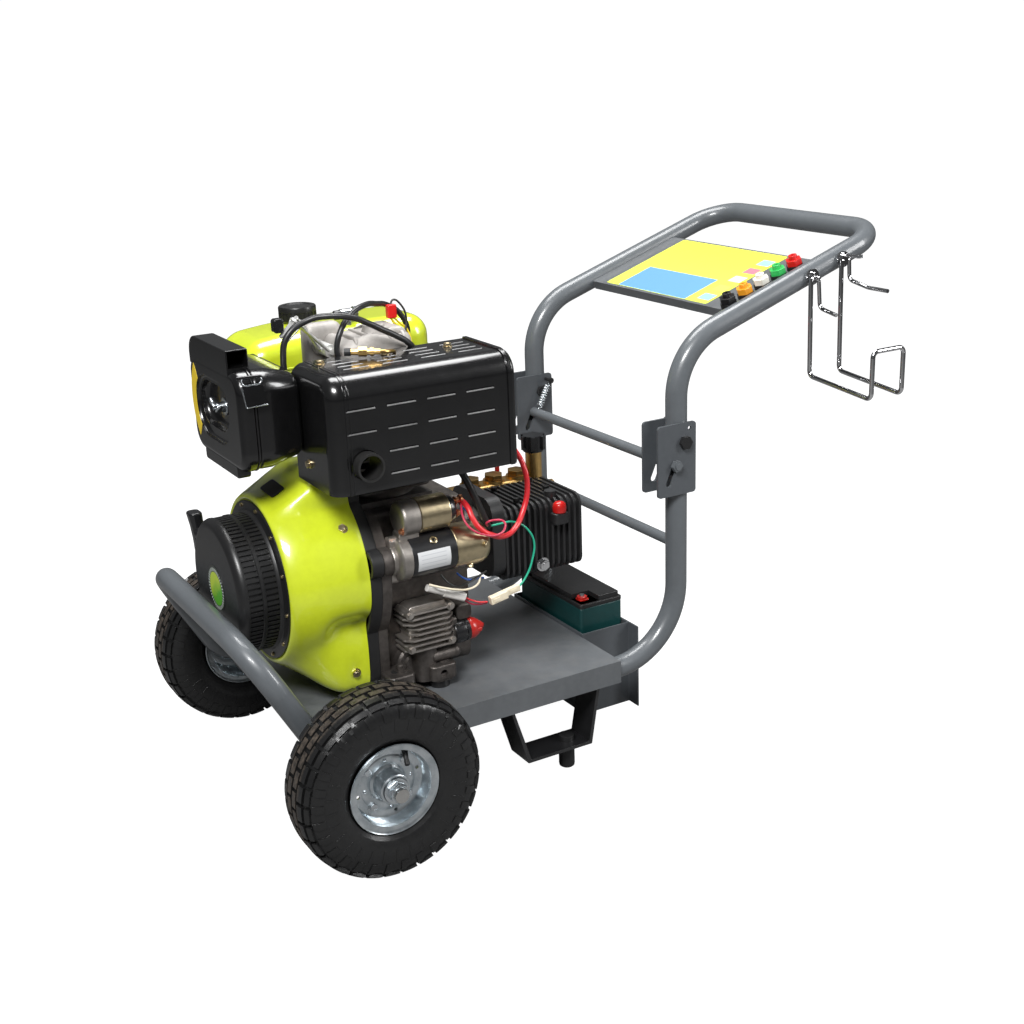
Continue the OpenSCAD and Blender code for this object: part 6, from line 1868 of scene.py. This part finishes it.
    def _plug(self, bench: Bench) -> None:
        """The oil plug: black collar, red cone with a ridge, and its stem."""
        centre = self.filler
        cone = bench.lathe("oil_cone", centre, (1, 0, 0),
                           [(214, 0), (214, 15.6), (217, 16.6), (222, 16.2), (229, 12.8), (237, 6.6),
                            (241, 3), (242, 0)], 56)
        ridge = slab(bench, "oil_ridge", (216, -139.4, 233.4), (232, -108.6, 238.6), 2, 2, 1.4)
        stem = bench.rod("oil_stem", (193, -124, 236), (217, -124, 236), 7.8, 32)
        bench.weld("oil_plug_cap", [cone, ridge, stem], DEEP_RED, "red_plastic", "oil_plug", body="oil_plug")
        neck = bench.lathe("filler_ring", centre, (1, 0, 0),
                           [(190, 13), (190, 16), (192, 17.2), (206, 17.2), (207.4, 16.4), (207.4, 13),
                            (190, 13)], 56)
        bench.fit(neck, DEEP_BLACK, "black_plastic")
        collar = bench.lathe("oil_collar", centre, (1, 0, 0),
                             [(208.2, 8), (208.2, 15.6), (209.4, 16.6), (213.4, 16.6), (214.6, 15.6),
                              (214.6, 8), (208.2, 8)], 56)
        bench.fit(collar, DEEP_BLACK, "red_plastic", body="oil_plug")


# --- pump, battery and leads


@dataclass
class Pump:
    """The plunger pump: finned case, brass head, breather and sight plug."""

    def build(self, bench: Bench) -> None:
        """Dresses the pump."""
        bench.clad("pump_crankcase", "finned_pump_case", IRON_BLACK, "pump_black", 0.8)
        bench.clad("pump_manifold", "brass_manifold", BRASS, "brass", 1.2, 3)
        bench.clad("pump_plugs", "valve_plugs", BRASS_DARK, "brass", 1)
        bar = slab(bench, "manifold_bar", (300, 51, 364), (440, 90, 380), 6, 0, 3)
        bench.fit(bar, BRASS, "brass")
        bench.clad("pressure_knob", "pressure_grip", DEEP_BLACK, "black_plastic", 1.2, 3,
                   body="pressure_knob")
        neck = slab(bench, "breather_neck", (388, -95, 348), (414, -76, 366), 7, 2, 2.5)
        bench.fit(neck, IRON_BLACK, "pump_black")
        breather = bench.lathe("pump_breather", (401, -86, 0), (0, 0, 1),
                               [(365, 0), (365, 8), (367, 10.2), (374, 10.6), (379, 9.4), (382, 6.6),
                                (383.4, 0)], 44)
        bench.fit(breather, RED, "red_plastic")
        sight = [bench.bolt("sight_plug", (372, -80.4, 287), (0, -1, 0), 15, 8),
                 bench.rod("sight_glass", (372, -88, 287), (372, -89.4, 287), 4.6, 28)]
        bench.weld("sight_plug_set", sight, CHROME, "steel")
        bolts = [bench.bolt("case_bolt", spot, (0, 0, 1), 9, 7)
                 for spot in ((344, -56, 384.4), (412, -30, 384.4), (344, 12, 384.4), (412, 20, 384.4))]
        bench.weld("pump_case_bolts", bolts, SATIN_BLACK, "pump_black")


@dataclass
class Battery:
    """Battery case, stepped lid, terminals and their covers."""

    def build(self, bench: Bench) -> None:
        """Builds the battery."""
        case = slab(bench, "battery_box", (427, -98, 51.6), (504, 83, 204.4), 5, 2, 1.6)
        bench.fit(case, CASE_GREEN, "battery_case", "battery_case")
        lid = slab(bench, "lid_base", (426.6, -98.4, 204.5), (504.4, 83.4, 211), 5, 2, 1.2)
        step = slab(bench, "lid_step", (430.5, -94.5, 210.5), (500.5, 79.5, 218.6), 3, 2, 1)
        for low, high in (((420, -110, 211), (463, -66, 230)), ((420, 52, 211), (463, 100, 230))):
            bench.cut(step, bench.block("notch", low, high))
        bench.weld("battery_top", [lid, step], LID_BLACK, "battery_lid", "battery_lid")
        red = [bench.rod("near_terminal", (444, -76, 211), (444, -76, 216.4), 8, 36),
               slab(bench, "terminal_tab", (436, -84, 211), (453, -68, 213), 3, 2, 0.6)]
        bench.weld("terminal_cover", red, DEEP_RED, "battery_lid")
        metal = [bench.rod("near_post", (444, -76, 216), (444, -76, 219.5), 4, 28),
                 bench.rod("far_post", (465, 59, 218), (465, 59, 230), 7, 32),
                 bench.bolt("far_screw", (465, 59, 230), (0, 0, 1), 10, 6),
                 bench.rod("cable_lug", (465, 68, 236.9), (465, 54, 236.9), 4.6, 24)]
        bench.weld("battery_posts", metal, ZINC, "zinc")


WIRES: tuple[tuple[str, Finish, float, list[Point]], ...] = (
    ("green_wire", WIRE_GREEN, 1.5, [(285, -150, 289), (300, -150, 303), (313, -150, 329), (317, -149, 356),
                                     (309, -147, 374), (297, -145, 385), (282, -144, 391), (266, -143, 391),
                                     (252, -141, 390), (242, -138, 388)]),
    ("pink_wire", WIRE_PINK, 1.6, [(202, -148, 434), (196, -162, 424), (197, -173, 412), (206, -179, 402),
                                   (220, -182, 395), (238, -182, 391), (254, -177, 396), (256, -172, 404),
                                   (246, -166, 407), (236, -160, 404), (240, -152, 396)]),
    ("red_thin_wire", WIRE_RED, 1.3, [(197, -150, 298), (210, -151, 290), (223, -151, 284),
                                      (236, -150, 281)]),
    ("red_thin_wire_2", WIRE_PINK, 1.3, [(197, -147, 295), (211, -146, 283), (225, -147, 279),
                                         (236, -148, 279)]),
    ("blue_wire", WIRE_BLUE, 1.5, [(196, -136, 330), (204, -142, 322), (214, -144, 318), (228, -142, 317),
                                   (240, -134, 312)]),
    ("blue_wire_2", WIRE_BLUE, 1.5, [(206, -138, 428), (214, -140, 420), (222, -134, 408), (226, -118, 396)]),
    ("black_wire", WIRE_BLACK, 1.6, [(160, -158, 342), (168, -164, 330), (180, -164, 322), (196, -156, 318),
                                     (222, -146, 320), (244, -136, 322)]),
    ("white_wire", CREAM, 1.6, [(142, -156, 331), (156, -163, 326), (178, -164, 318), (202, -158, 311),
                                (222, -150, 312), (232, -140, 318)]),
    ("thick_black_lead", WIRE_BLACK, 5.2, [(188, -64, 574), (196, -78, 562), (200, -98, 540),
                                           (197, -116, 516), (205, -132, 490), (214, -142, 468),
                                           (226, -148, 436), (240, -149, 401), (244, -147, 392)]),
)


@dataclass
class Leads:
    """Red battery lead, thin wires and their connectors."""

    def build(self, bench: Bench) -> None:
        """Builds the leads over the engine's near side."""
        red = bench.cord("battery_lead", [(206.2, -140, 438.2), (208, -156, 431), (209, -168, 417),
                                          (217, -175, 402), (232, -176, 391), (254, -172, 383),
                                          (280, -160, 386), (300, -150, 405), (312, -144, 436),
                                          (312, -134, 468), (306, -112, 494), (316, -60, 514), (334, 30, 524),
                                          (372, 92, 480), (406, 116, 420), (412, 118, 330), (416, 116, 270),
                                          (440, 108, 242), (462, 90, 237), (465, 67.2, 236.9)], 4)
        bench.fit(red, WIRE_RED, "red_rubber", "battery_cables", angle=60)
        for name, finish, radius, route in WIRES:
            bench.fit(bench.cord(name, route, radius), finish, "black_rubber", angle=60)
        plug = [slab(bench, "plug_shell", (240, -155, 279.5), (268, -145, 291.5), 1.5, 0, 0.8),
                slab(bench, "plug_neck", (264, -153.5, 282), (290, -146.5, 292.5), 1.5, 0, 0.8)]
        for low, high in (((244, -156.2, 283), (254, -155, 288)), ((272, -154.4, 285.5), (284, -153, 289.5))):
            plug.append(bench.block("plug_latch", low, high))
        white = bench.join("white_connector", plug)
        white.data.transform(self._lean((264, -150, 285), -10))
        bench.fit(white, CREAM, "white_plastic")
        clear = [slab(bench, "clear_sleeve", (138, -155, 306), (170, -145, 316), 4, 0, 1),
                 slab(bench, "clear_tube", (166, -156, 304.5), (202, -144, 317.5), 4, 0, 1)]
        sleeve = bench.join("clear_connector", clear)
        sleeve.data.transform(self._lean((170, -150, 311), 25))
        bench.fit(sleeve, CLEAR, "white_plastic")
        ring = bench.lathe("eyelet", (206, -140, 438.2), (1, 0, 0),
                           [(-2, 3.6), (-2, 7.4), (1, 7.4), (1, 3.6), (-2, 3.6)], 40)
        bench.fit(ring, COPPER, "zinc")

    @staticmethod
    def _lean(about: Point, degrees: float) -> Matrix:
        """A turn about a Y line through a point."""
        middle = Matrix.Translation(about)
        return middle @ Matrix.Rotation(math.radians(degrees), 4, "Y") @ middle.inverted()


def dress_hidden(bench: Bench) -> None:
    """Gives the parts that lie inside their own finishes."""
    inner = {"crankshaft": (MACHINED, "steel"), "flywheel": (CAST_IRON, "cast_iron"),
             "piston": (CAST, "cast_aluminium")}
    for node, (finish, slot) in inner.items():
        dress(bench, node, finish)


def build_machine(shop: PaintShop) -> Bench:
    """Builds every piece of the machine.

    Args:
        shop: Where the finishes are mixed.

    Returns:
        The bench that the pieces were shaped on.
    """
    bench = Bench(shop)
    for side, place in ((-1, "near"), (1, "far")):
        Wheel(side, place).build(bench)
    groups = (Running(), TubeFrame(), ControlPanel(), Blower(), Recoil(), AirCleaner(), Exhaust(), Tank(),
              Top(), Block(), Pump(), Battery(), Leads())
    for group in groups:
        group.build(bench)
        LOG.info("%s is done, %d pieces so far", type(group).__name__, bench.made)
    dress_hidden(bench)
    return bench


def main() -> None:
    """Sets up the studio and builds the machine."""
    logging.basicConfig(level=logging.INFO, format="%(name)s: %(message)s")
    Studio().build()
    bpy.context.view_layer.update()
    build_machine(PaintShop())


if __name__ == "__main__":
    main()
